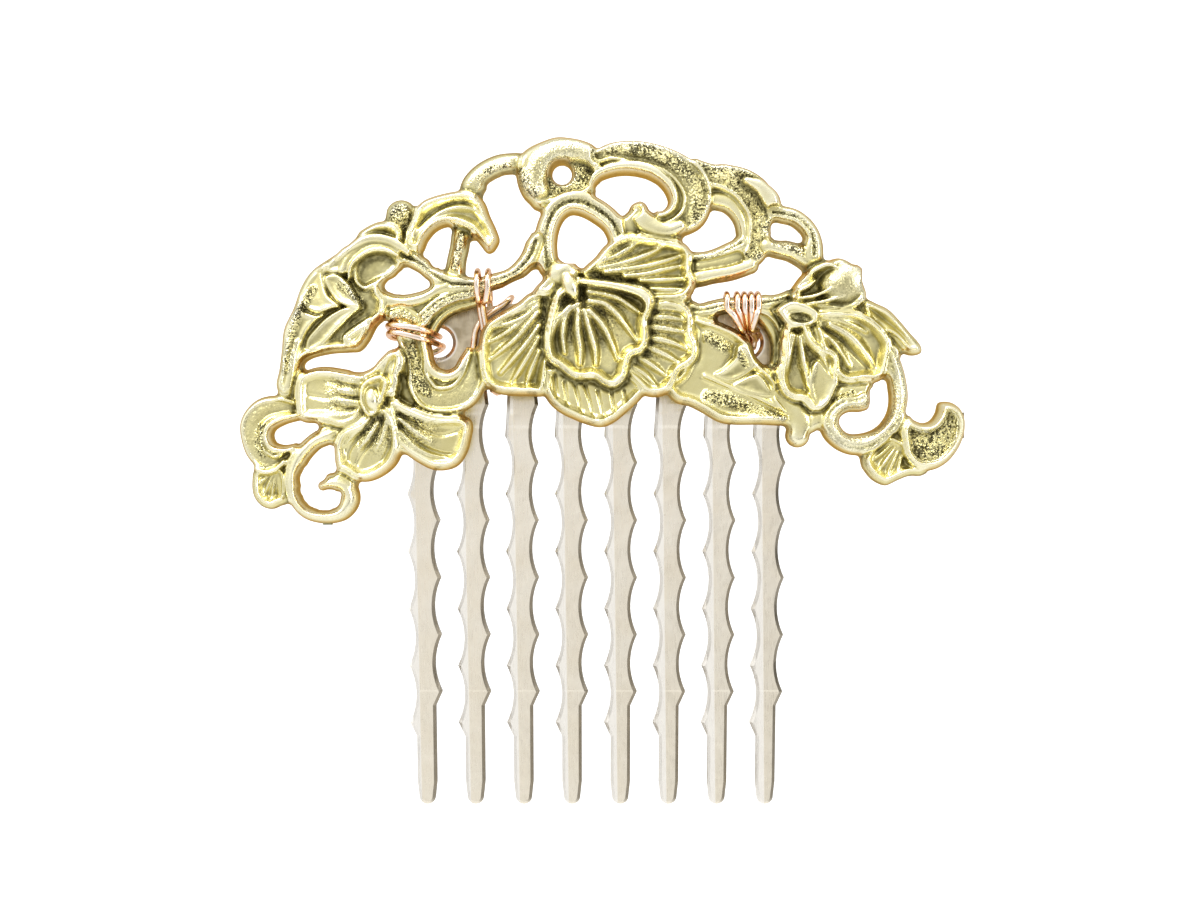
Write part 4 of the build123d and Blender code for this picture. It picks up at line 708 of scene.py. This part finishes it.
def close_gaps():
    """Joins shapes that nearly touch with low webs, and makes inside the distance to the joined outline."""
    global height, inside
    joined = distance_to_outside(np.maximum(inside, -1.0) + WEB, EDGE_RUN + WEB) - WEB
    joined = np.where(inside > -WEB, joined, inside)
    bare = inside <= 0
    known = np.where(bare, 0.0, height)
    web = blur(known, 0.35) / np.maximum(blur(1.0 - bare, 0.35), 0.05) - 0.45
    height = np.where(bare, np.maximum(web, WEB_FLOOR), height)
    inside = joined


def carve_relief():
    """Lays every shape, the lowest first, then rounds the outer edges and adds the cast surface's
    unevenness."""
    global height
    for shapes in (crown, right_vines, left_scrolls, inner_ledges, kidney, left_vines, scroll_leaf, big_leaf,
                   left_flower, right_spiral, bottom_leaf, right_flower, centre_flower):
        shapes()
    openings()
    stipple()
    close_gaps()
    height += 0.05 * mottle(height.shape, 0.6)
    height += 0.07 * grain * mottle(height.shape, 0.16)
    rise = 1 - (1 - np.clip(inside / EDGE_RUN, 0, 1)) ** 2.6
    height = EDGE_FOOT + (np.maximum(height, EDGE_FOOT + 0.1) - EDGE_FOOT) * rise


def snapped_to_outline():
    """X and Z of the grid's points, with those just outside the outline moved on to it."""
    slope_z, slope_x = np.gradient(inside, GRID)
    steep = np.maximum(slope_x ** 2 + slope_z ** 2, 0.3)
    shift = np.where(inside < 0, -inside, 0) / steep
    limit = 1.3 * GRID / np.maximum(np.hypot(slope_x, slope_z) * np.maximum(shift, 1e-9), 1e-9)
    shift *= np.minimum(1, limit)
    return GRID_X + shift * slope_x, GRID_Z + shift * slope_z


def casting_faces(cell, index, count):
    """Squares in front and behind, and walls round every edge. The back's points are numbered from count."""
    rows, columns = index.shape
    a, b = index[:-1, :-1][cell], index[:-1, 1:][cell]
    c, d = index[1:, 1:][cell], index[1:, :-1][cell]
    faces = [np.stack([a, b, c, d], 1), np.stack([d, c, b, a], 1) + count]
    padded = np.pad(cell, 1)
    for step, first, second in (((-1, 0), a, b), ((1, 0), c, d), ((0, 1), b, c), ((0, -1), d, a)):
        neighbour = padded[1 + step[0]:rows + step[0], 1 + step[1]:columns + step[1]]
        edge = ~neighbour[cell]
        faces.append(np.stack([second[edge], first[edge], first[edge] + count, second[edge] + count], 1))
    return np.vstack(faces)


def casting_mesh():
    """One closed mesh: the relief in front, walls round every edge, and a back that follows it, hollowed.
    Its attributes steer the brass material."""
    solid = inside > 0
    cell = solid[:-1, :-1] | solid[1:, :-1] | solid[:-1, 1:] | solid[1:, 1:]
    used = np.zeros(height.shape, bool)
    for corner in (used[:-1, :-1], used[1:, :-1], used[:-1, 1:], used[1:, 1:]):
        corner |= cell
    count = int(used.sum())
    index = np.full(height.shape, -1)
    index[used] = np.arange(count)
    hollow = np.clip(blur(np.where(solid, height, 0), 0.5) - 1.5, 0, 2.0) * 0.8
    hollow = (hollow * smoothstep(0.6, 1.5, inside))[used]
    x, z = snapped_to_outline()
    front = np.stack([x[used], BACK_Y - height[used], z[used]], 1)
    back = np.stack([x[used], BACK_Y - hollow, z[used]], 1)
    mesh = bpy.data.meshes.new("ornament")
    vertices = np.vstack([front, back]) * MM
    mesh.from_pydata(vertices.tolist(), [], casting_faces(cell, index, count).tolist())
    smooth_low = blur(np.where(solid, height, 1.0), 0.55)
    before = {
        # recess: how far the brass is painted darker, by oxide and painted shade in hollows and darkened
        # shapes.
        "recess": np.clip((smooth_low - height) / 0.45 + patina_and_shade, 0, 1),
        "crest": np.clip((height - smooth_low) / 0.35, 0, 1),
        "grain": grain,
        "foot": 1 - smoothstep(0.3, 0.7, inside),
    }
    behind = {
        # The back's hollows are painted darker too: painted shade, with some oxide.
        "recess": np.clip(0.25 + 0.6 * hollow, 0, 0.85),
        "crest": np.zeros(count),
        "grain": 0.25 + 0.4 * smoothstep(0.2, 0.9, hollow),
        "foot": np.ones(count),
    }
    for name in before:
        attribute = mesh.attributes.new(name, "FLOAT", "POINT")
        values = np.concatenate([before[name][used], behind[name]])
        attribute.data.foreach_set("value", values.astype(np.float32))
    mesh.polygons.foreach_set("use_smooth", np.ones(len(mesh.polygons), bool))
    mesh.validate()
    return mesh


def thin_back(piece):
    """Collapses the smooth back to far fewer faces; the front keeps all of its detail."""
    group = piece.vertex_groups.new(name="back")
    total = len(piece.data.vertices)
    group.add(list(range(total // 2, total)), 1.0, "REPLACE")
    modifier = piece.modifiers.new("thin back", "DECIMATE")
    modifier.ratio = 0.62
    modifier.vertex_group = "back"
    modifier.vertex_group_factor = 1000.0
    bpy.context.view_layer.update()
    evaluated = piece.evaluated_get(bpy.context.evaluated_depsgraph_get())
    reduced = bpy.data.meshes.new_from_object(evaluated)
    piece.modifiers.clear()
    piece.vertex_groups.clear()
    piece.data = reduced


# --- Materials --------------------------------------------------------------------------------------------

class Nodes:
    """Short ways to add and join the nodes of one material or world."""

    def __init__(self, owner):
        self.tree = owner.node_tree

    def add(self, kind, **values):
        node = self.tree.nodes.new(kind)
        for key, value in values.items():
            setattr(node, key, value)
        return node

    def link(self, source, target):
        self.tree.links.new(source, target)

    def attribute(self, name):
        return self.add("ShaderNodeAttribute", attribute_name=name).outputs["Fac"]

    def place(self, kind="Object"):
        return self.add("ShaderNodeTexCoord").outputs[kind]

    def normal(self):
        return self.add("ShaderNodeNewGeometry").outputs["Normal"]

    def axes(self, vector):
        """The X, Y and Z of a vector."""
        split = self.add("ShaderNodeSeparateXYZ")
        self.link(vector, split.inputs["Vector"])
        return split.outputs

    def noise(self, size_mm, detail=2.0, roughness=0.5):
        """Noise whose features are about size_mm across, 0 to 1."""
        node = self.add("ShaderNodeTexNoise")
        node.inputs["Scale"].default_value = 1 / (size_mm * MM)
        node.inputs["Detail"].default_value = detail
        node.inputs["Roughness"].default_value = roughness
        self.link(self.place(), node.inputs["Vector"])
        return node.outputs["Fac"]

    def lines(self, width_mm, length_mm):
        """Noise drawn out into fine lines along Z."""
        stretch = self.add("ShaderNodeMapping")
        across = 1 / (width_mm * MM)
        stretch.inputs["Scale"].default_value = (across, across, 1 / (length_mm * MM))
        self.link(self.place(), stretch.inputs["Vector"])
        node = self.add("ShaderNodeTexNoise")
        node.inputs["Scale"].default_value = 1.0
        node.inputs["Detail"].default_value = 2.0
        self.link(stretch.outputs["Vector"], node.inputs["Vector"])
        return node.outputs["Fac"]

    def ramp(self, source, stops):
        node = self.add("ShaderNodeValToRGB")
        elements = node.color_ramp.elements
        while len(elements) < len(stops):
            elements.new(0.5)
        for element, (position, colour) in zip(elements, stops):
            element.position = position
            element.color = (*colour, 1)
        self.link(source, node.inputs["Fac"])
        return node.outputs["Color"]

    def spread(self, source, low, high, to_low=0.0, to_high=1.0, clamp=True):
        """Maps the range low to high on to to_low to to_high."""
        node = self.add("ShaderNodeMapRange", clamp=clamp)
        node.inputs["From Min"].default_value = low
        node.inputs["From Max"].default_value = high
        node.inputs["To Min"].default_value = to_low
        node.inputs["To Max"].default_value = to_high
        self.link(source, node.inputs["Value"])
        return node.outputs["Result"]

    def math(self, operation, first, second=0.0):
        node = self.add("ShaderNodeMath", operation=operation)
        node.use_clamp = operation not in ("SUBTRACT", "FRACT")
        for socket, value in zip(node.inputs, (first, second)):
            if isinstance(value, (int, float)):
                socket.default_value = value
            else:
                self.link(value, socket)
        return node.outputs["Value"]

    def times(self, first, second):
        return self.math("MULTIPLY", first, second)

    def mix(self, factor, first, second):
        node = self.add("ShaderNodeMix", data_type="RGBA")
        self.link(factor, node.inputs["Factor"])
        for socket, value in ((node.inputs[6], first), (node.inputs[7], second)):
            if isinstance(value, tuple):
                socket.default_value = (*value, 1)
            else:
                self.link(value, socket)
        return node.outputs[2]

    def bump(self, source, depth_mm, previous=None):
        node = self.add("ShaderNodeBump")
        node.inputs["Strength"].default_value = 1.0
        node.inputs["Distance"].default_value = depth_mm * MM
        self.link(source, node.inputs["Height"])
        if previous is not None:
            self.link(previous, node.inputs["Normal"])
        return node.outputs["Normal"]


def new_material(name, metallic=1.0):
    """A new material, its shader and its nodes."""
    material = bpy.data.materials.new(name)
    material.use_nodes = True
    nodes = Nodes(material)
    material.node_tree.nodes.clear()
    shader = nodes.add("ShaderNodeBsdfPrincipled")
    shader.inputs["Metallic"].default_value = metallic
    nodes.link(shader.outputs["BSDF"], nodes.add("ShaderNodeOutputMaterial").inputs["Surface"])
    return material, shader, nodes


def brass():
    """Cast brass: pale yellow, olive in the hollows from oxide and painted shade, orange-brown on the
    drafted edges as a painted reflection, glittering where matted, with dark specks painted there as shade
    in the pits."""
    material, shader, nodes = new_material("aged_brass")
    recess = nodes.attribute("recess")
    matted = nodes.attribute("grain")
    colour = nodes.ramp(nodes.noise(2.6, 3.0), [
        (0.3, (0.72, 0.64, 0.29)), (0.55, (0.80, 0.73, 0.37)), (0.75, (0.84, 0.78, 0.43))])
    colour = nodes.mix(nodes.attribute("crest"), colour, (0.98, 0.93, 0.66))
    # Olive in hollows and in darkened shapes: oxide and painted shade.
    shade_and_patina = nodes.times(nodes.spread(recess, 0.3, 0.95), nodes.spread(nodes.noise(0.5), 0.2, 0.6, 0.45, 0.9))
    colour = nodes.mix(shade_and_patina, colour, (0.12, 0.105, 0.04))
    # Dark specks where matted: painted shade in the pits of the matted surface.
    clusters = nodes.spread(nodes.noise(1.5, 1.0), 0.35, 0.65, 0.0, 0.13)
    speckle = nodes.spread(nodes.math("ADD", nodes.noise(0.22), clusters), 0.56, 0.62)
    colour = nodes.mix(nodes.times(nodes.times(speckle, matted), 0.9), colour, (0.035, 0.03, 0.012))
    # Side walls near the edges turn orange-brown, with an orange sheen: a painted reflection of the brass
    # around them.
    facing = nodes.math("ABSOLUTE", nodes.axes(nodes.normal())["Y"])
    wall = nodes.times(nodes.spread(facing, 0.5, 0.1), nodes.attribute("foot"))
    colour = nodes.mix(nodes.times(wall, 0.85), colour, (0.60, 0.36, 0.10))
    nodes.link(colour, shader.inputs["Base Color"])
    nodes.link(nodes.mix(wall, (1.0, 0.97, 0.80), (0.75, 0.50, 0.20)), shader.inputs["Specular Tint"])
    rough = nodes.spread(recess, 0.2, 0.9, 0.20, 0.40)
    uneven = nodes.spread(nodes.noise(0.35), 0.3, 0.7, 0.0, 0.07)
    nodes.link(nodes.math("ADD", rough, uneven), shader.inputs["Roughness"])
    dents = nodes.bump(nodes.noise(0.7, 3.0), 0.05)
    pits = nodes.bump(nodes.times(nodes.noise(0.24), matted), 0.30, dents)
    nodes.link(pits, shader.inputs["Normal"])
    return material


def tooth_facet(nodes, place):
    """Rises from 0 at a tooth's left edge to 1 at the straight line where its coined facet ends."""
    teeth = nodes.spread(place["X"], -TOOTH_PITCH * MM, TOOTH_PITCH * MM, -1.0, 1.0, clamp=False)
    line = nodes.spread(place["Z"], 0.0, -TOOTH_LENGTH * MM, FACET_AT_ROOT, FACET_AT_TIP)
    return nodes.spread(nodes.math("SUBTRACT", nodes.math("FRACT", teeth), line), -FACET_WIDTH, 0.0)


def plating_colour(nodes, place, facet):
    """Champagne plating, spotted, with painted shade darker towards the tips and on the front of the plate,
    painted highlights on the rims round the lashing holes and on the teeth's facets, and painted shade on
    right-hand walls."""
    normal = nodes.axes(nodes.normal())
    colour = nodes.ramp(nodes.noise(4.0, 3.0), [(0.3, (0.93, 0.85, 0.71)), (0.7, (0.99, 0.93, 0.82))])
    spots = nodes.spread(nodes.noise(0.5, 4.0, 0.7), 0.68, 0.74)
    colour = nodes.mix(nodes.times(spots, 0.45), colour, (0.50, 0.42, 0.30))
    # The front of the plate behind the casting is painted darker and mottled: painted shade, with some
    # oxide.
    tarnish_and_shade = nodes.ramp(nodes.noise(1.4), [(0.35, (0.42, 0.34, 0.22)), (0.65, (0.74, 0.64, 0.47))])
    plate = nodes.spread(place["Z"], -4 * MM, 3 * MM)
    front = nodes.spread(normal["Y"], 0.9, 0.2, 0.35, 1.0)
    colour = nodes.mix(nodes.times(plate, front), colour, tarnish_and_shade)
    # Painted shade: the teeth get darker towards their tips.
    tips = nodes.spread(place["Z"], -12 * MM, -46 * MM, 0.0, 0.5)
    colour = nodes.mix(tips, colour, (0.84, 0.77, 0.62))
    # A painted highlight on the rim round each lashing hole.
    for x, z in LASHING_HOLES:
        reach = nodes.add("ShaderNodeVectorMath", operation="DISTANCE")
        reach.inputs[1].default_value = (x * MM, HOLE_FRONT_Y * MM, z * MM)
        nodes.link(nodes.place(), reach.inputs[0])
        rim = nodes.spread(reach.outputs["Value"], HOLE_HIGHLIGHT_OUTSIDE * MM, HOLE_HIGHLIGHT_INSIDE * MM)
        colour = nodes.mix(rim, colour, (0.96, 0.90, 0.82))
    # A painted highlight on each tooth's coined facet below the plate.
    below_root = nodes.spread(place["Z"], -1 * MM, -3 * MM, 0.0, 0.8)
    colour = nodes.mix(nodes.times(nodes.spread(facet, 0.98, 0.90), below_root), colour, (1.0, 0.97, 0.92))
    # Painted shade on surfaces that face right.
    right = nodes.spread(normal["X"], 0.25, 0.8)
    return nodes.mix(nodes.times(right, 0.9), colour, (0.13, 0.10, 0.06))


def comb_metal():
    """Pale champagne plating with fine rolling lines. Bends and steps where the teeth leave the plate and
    where the tips begin catch the light."""
    material, shader, nodes = new_material("champagne_plate")
    place = nodes.axes(nodes.place())
    facet = tooth_facet(nodes, place)
    lines = nodes.lines(0.12, 6)
    nodes.link(plating_colour(nodes, place, facet), shader.inputs["Base Color"])
    nodes.link(nodes.spread(lines, 0.3, 0.7, 0.24, 0.36), shader.inputs["Roughness"])
    surface = nodes.bump(nodes.noise(2.5), 0.10, nodes.bump(lines, 0.006))
    below_root = nodes.spread(place["Z"], -1 * MM, -3 * MM)
    surface = nodes.bump(nodes.times(facet, below_root), 0.30, surface)
    for step_z, run, rise in ((-1.9, 0.5, 0.05), (-4.1, 0.35, 0.06), (-32.1, 0.12, 0.02)):
        step = nodes.spread(place["Z"], (step_z - run) * MM, step_z * MM)
        surface = nodes.bump(step, rise, surface)
    nodes.link(surface, shader.inputs["Normal"])
    return material


def copper():
    """Bright rose-copper wire with slight drawing marks, pale where it faces the camera and orange towards
    its sides, a painted reflection.
    """
    material, shader, nodes = new_material("copper_wire")
    # Pale where the wire faces the camera and orange towards its sides: a painted reflection, with uneven
    # wear in the pale tone.
    wear_and_sheen = nodes.ramp(nodes.noise(1.6, 3.0), [(0.3, (0.95, 0.76, 0.60)), (0.65, (0.98, 0.88, 0.78))])
    facing = nodes.spread(nodes.math("ABSOLUTE", nodes.axes(nodes.normal())["Y"]), 0.35, 0.85)
    nodes.link(nodes.mix(facing, (0.80, 0.43, 0.19), wear_and_sheen), shader.inputs["Base Color"])
    nodes.link(nodes.spread(nodes.noise(0.3), 0.3, 0.7, 0.10, 0.22), shader.inputs["Roughness"])
    nodes.link(nodes.bump(nodes.noise(0.5), 0.02), shader.inputs["Normal"])
    return material


# --- Pieces -----------------------------------------------------------------------------------------------

def new_object(name, mesh):
    piece = bpy.data.objects.new(name, mesh)
    bpy.context.scene.collection.objects.link(piece)
    return piece


def stand_in(piece, node):
    """Fixes a piece to the only body, in place of its CAD node."""
    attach(piece, "root")
    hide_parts(node)


def ornament():
    """The casting."""
    carve_relief()
    piece = new_object("ornament", casting_mesh())
    thin_back(piece)
    piece.data.materials.clear()
    piece.data.materials.append(brass())
    stand_in(piece, "ornament_casting")


def tube(path):
    """Closed skin of a round wire bent along a smooth path, with domed ends. Returns vertices and faces."""
    line = spline(path, steps=6)
    run = np.gradient(line, axis=0)
    run /= np.linalg.norm(run, axis=1)[:, None]
    side = np.cross(run[0], (0.3, 0.5, 0.8))
    rings = []
    angles = np.linspace(0, 2 * math.pi, WIRE_SIDES, endpoint=False)
    for i, (place, ahead) in enumerate(zip(line, run)):
        side = side - (side @ ahead) * ahead
        side /= np.linalg.norm(side)
        other = np.cross(ahead, side)
        circle = WIRE_RADIUS * (np.cos(angles)[:, None] * side + np.sin(angles)[:, None] * other)
        if i == 0:
            rings.append(place - WIRE_TIP * ahead + WIRE_TIP_SHARE * circle)
        rings.append(place + circle)
        if i == len(line) - 1:
            rings.append(place + WIRE_TIP * ahead + WIRE_TIP_SHARE * circle)
    n = WIRE_SIDES
    faces = [(n * r + k, n * r + (k + 1) % n, n * (r + 1) + (k + 1) % n, n * (r + 1) + k)
             for r in range(len(rings) - 1) for k in range(n)]
    faces.append(tuple(reversed(range(n))))
    faces.append(tuple(n * (len(rings) - 1) + k for k in range(n)))
    return np.vstack(rings), faces


def wound(turns, crest, stem, under, plate_top, tuck):
    """Path of a wire wound over a stem and through the comb. crest, stem, under, tuck: (y, z) over the stem,
    in front of it, below it and where the turns meet; turns: x over the stem, x where the turn meets the
    others, how far forward it lies there, then x and z where it goes through the comb."""
    path = []
    behind = BACK_Y + WIRE_RADIUS + WIRE_AIR
    for stem_x, meet_x, forward, comb_x, comb_z in turns:
        path += [
            (comb_x, PLATE_WIRE_Y, comb_z + 0.5),
            (stem_x, PLATE_WIRE_Y, plate_top - 0.6),
            (stem_x, 0.2, plate_top + 0.5),
            (stem_x, behind, crest[1] - 0.5),
            (stem_x, crest[0], crest[1]),
            (stem_x, stem[0], stem[1] + 0.6),
            (stem_x, stem[0], stem[1] - 0.5),
            (0.6 * stem_x + 0.4 * meet_x, under[0] - 0.5 * forward, under[1]),
            (meet_x, tuck[0] - forward, tuck[1]),
            (comb_x, -PLATE_WIRE_Y - 0.5 * forward, comb_z + 0.9),
            (comb_x, 0.0, comb_z),
        ]
    path.append((comb_x, PLATE_WIRE_Y, comb_z + 0.8))
    path.append((comb_x - 0.5, PLATE_WIRE_Y, comb_z + 2.2))
    return path


def wire_paths():
    """The four wires, each one continuous path."""
    return {
        "wire_left_upper": wound(
            [(-12.2, -11.95, 0.0, -10.8, -0.4), (-11.1, -11.6, 0.66, -10.05, -0.4)],
            (-3.0, 11.75), (-4.5, 10.3), (-3.7, 8.7), 8.7, (-2.3, 7.5)),
        "wire_right": wound(
            [(13.45, 15.1, 1.1, 15.5, 4.7), (14.5, 15.3, 0.4, 15.75, 4.0), (15.25, 15.75, 0.0, 16.1, 5.2),
             (15.95, 16.05, 0.7, 16.45, 4.0), (16.65, 16.1, 1.4, 16.7, 4.8)],
            (-2.8, 9.4), (-4.2, 8.3), (-3.7, 7.1), 8.0, (-2.0, 5.6)),
        "wire_left_lower": [
            (-18.6, PLATE_WIRE_Y, 3.4), (-19.6, 0.9, 4.6), (-21.0, -0.6, 5.6), (-21.5, -2.4, 6.1),
            (-20.8, -4.0, 6.1), (-19.5, -4.4, 5.95), (-18.0, -4.2, 5.7), (-17.0, -3.2, 5.4),
            (-16.5, -1.8, 5.2), (-16.3, -0.4, 5.1), (-16.6, 0.8, 5.2), (-18.0, PLATE_WIRE_Y, 5.2),
            (-20.2, 0.5, 5.0), (-21.2, -1.2, 5.0), (-21.4, -2.8, 5.3), (-20.6, -4.1, 5.35),
            (-19.2, -4.35, 5.05), (-17.8, -4.0, 4.7), (-16.8, -2.6, 4.4), (-16.2, -1.1, 4.2),
            (-16.0, 0.2, 4.1), (-16.5, PLATE_WIRE_Y, 3.8), (-17.8, 1.0, 3.2)],
        "wire_left_inner": [
            (-14.4, 1.64, 1.9), (-12.2, 1.64, 5.0), (-9.9, 1.6, 7.8), (-8.9, 0.8, 9.2), (-9.0, -0.8, 9.0),
            (-9.8, -1.55, 8.25), (-11.0, -1.6, 7.5), (-12.0, -1.6, 6.6), (-12.5, -1.6, 5.6),
            (-12.65, -1.6, 4.6), (-12.9, -1.6, 3.2), (-13.8, -1.6, 1.6), (-15.0, -1.3, 0.3),
            (-15.55, -0.5, -0.55), (-15.55, 0.7, -0.6), (-15.8, 1.5, 0.2), (-16.1, 1.64, 1.6)],
    }


def lashings():
    """The four copper wires."""
    metal = copper()
    for name, path in wire_paths().items():
        vertices, faces = tube(path)
        mesh = bpy.data.meshes.new(name)
        mesh.from_pydata((vertices * MM).tolist(), [], faces)
        mesh.polygons.foreach_set("use_smooth", np.ones(len(mesh.polygons), bool))
        mesh.materials.append(metal)
        stand_in(new_object(name.replace("wire", "copper_wire"), mesh), name)


def plate_comb():
    """The CAD comb with its plating."""
    blank = frame["nodes"]["comb_blank"]
    blank.data.materials.clear()
    blank.data.materials.append(comb_metal())


# --- Studio -----------------------------------------------------------------------------------------------

def sweep():
    """White paper below and behind the comb, in metres. It is brighter to the camera than to the metal."""
    mesh = bpy.data.meshes.new("sweep")
    low_z = cad_box[0][2] - 0.25
    profile = [(-0.7, low_z), (0.25, low_z), (0.42, low_z + 0.12), (0.45, low_z + 0.4), (0.45, 0.9)]
    vertices = [(side * 1.5, y, z) for side in (-1, 1) for y, z in profile]
    n = len(profile)
    mesh.from_pydata(vertices, [], [(i, i + 1, n + i + 1, n + i) for i in range(n - 1)])
    material, shader, nodes = new_material("white_paper", metallic=0.0)
    shader.inputs["Base Color"].default_value = (0.5, 0.5, 0.5, 1)
    shader.inputs["Roughness"].default_value = 0.9
    shader.inputs["Emission Color"].default_value = (1, 1, 1, 1)
    seen = nodes.add("ShaderNodeLightPath").outputs["Is Camera Ray"]
    nodes.link(nodes.spread(seen, 0, 1, 0.3, 0.85), shader.inputs["Emission Strength"])
    mesh.materials.append(material)
    new_object("sweep", mesh)


def light(name, place, size, power):
    """A soft rectangular light aimed at the comb; place and size in metres, power in watts."""
    data = bpy.data.lights.new(name, "AREA")
    data.shape = "RECTANGLE"
    data.size, data.size_y = size
    data.energy = power
    lamp = new_object(name, data)
    lamp.location = place
    lamp.rotation_euler = (-Vector(place)).to_track_quat("-Z", "Y").to_euler()


def world():
    """What the metal mirrors: a studio that is bright above and to the left, dark below and dim to the
    right. The camera sees it as pale grey."""
    space = bpy.data.worlds.new("studio")
    space.use_nodes = True
    nodes = Nodes(space)
    direction = nodes.axes(nodes.place("Generated"))
    upward = nodes.spread(direction["Z"], -1, 1, 0.0, 0.66)
    leftward = nodes.spread(direction["X"], -1, 1, 0.34, 0.0)
    mirrored = nodes.ramp(nodes.math("ADD", upward, leftward), [
        (0.05, (0.02, 0.02, 0.02)), (0.28, (0.06, 0.06, 0.055)), (0.37, (0.30, 0.295, 0.28)),
        (0.43, (0.76, 0.75, 0.73)), (0.50, (0.685, 0.68, 0.665)), (0.58, (0.74, 0.74, 0.73)),
        (0.70, (1, 1, 1))])
    seen = nodes.add("ShaderNodeLightPath").outputs["Is Camera Ray"]
    background = space.node_tree.nodes["Background"]
    nodes.link(nodes.mix(seen, mirrored, (0.8, 0.8, 0.79)), background.inputs["Color"])
    background.inputs["Strength"].default_value = 1.15
    bpy.context.scene.world = space


def camera():
    """A level view of the comb's front."""
    data = bpy.data.cameras.new("camera")
    data.lens = 58.25
    data.sensor_width = 36
    eye = new_object("camera", data)
    eye.location = (0.41 * MM, -203 * MM, -6.7 * MM)
    eye.rotation_euler = (math.pi / 2, 0, 0)
    bpy.context.scene.camera = eye


ornament()
lashings()
plate_comb()
sweep()
world()
light("key", (-0.20, -0.30, 0.30), (0.20, 0.20), 1.3)
light("fill", (0.32, -0.20, 0.05), (0.10, 0.30), 0.45)
light("top", (0.04, -0.04, 0.40), (0.30, 0.12), 0.7)
camera()
bpy.context.scene.view_settings.view_transform = "Standard"
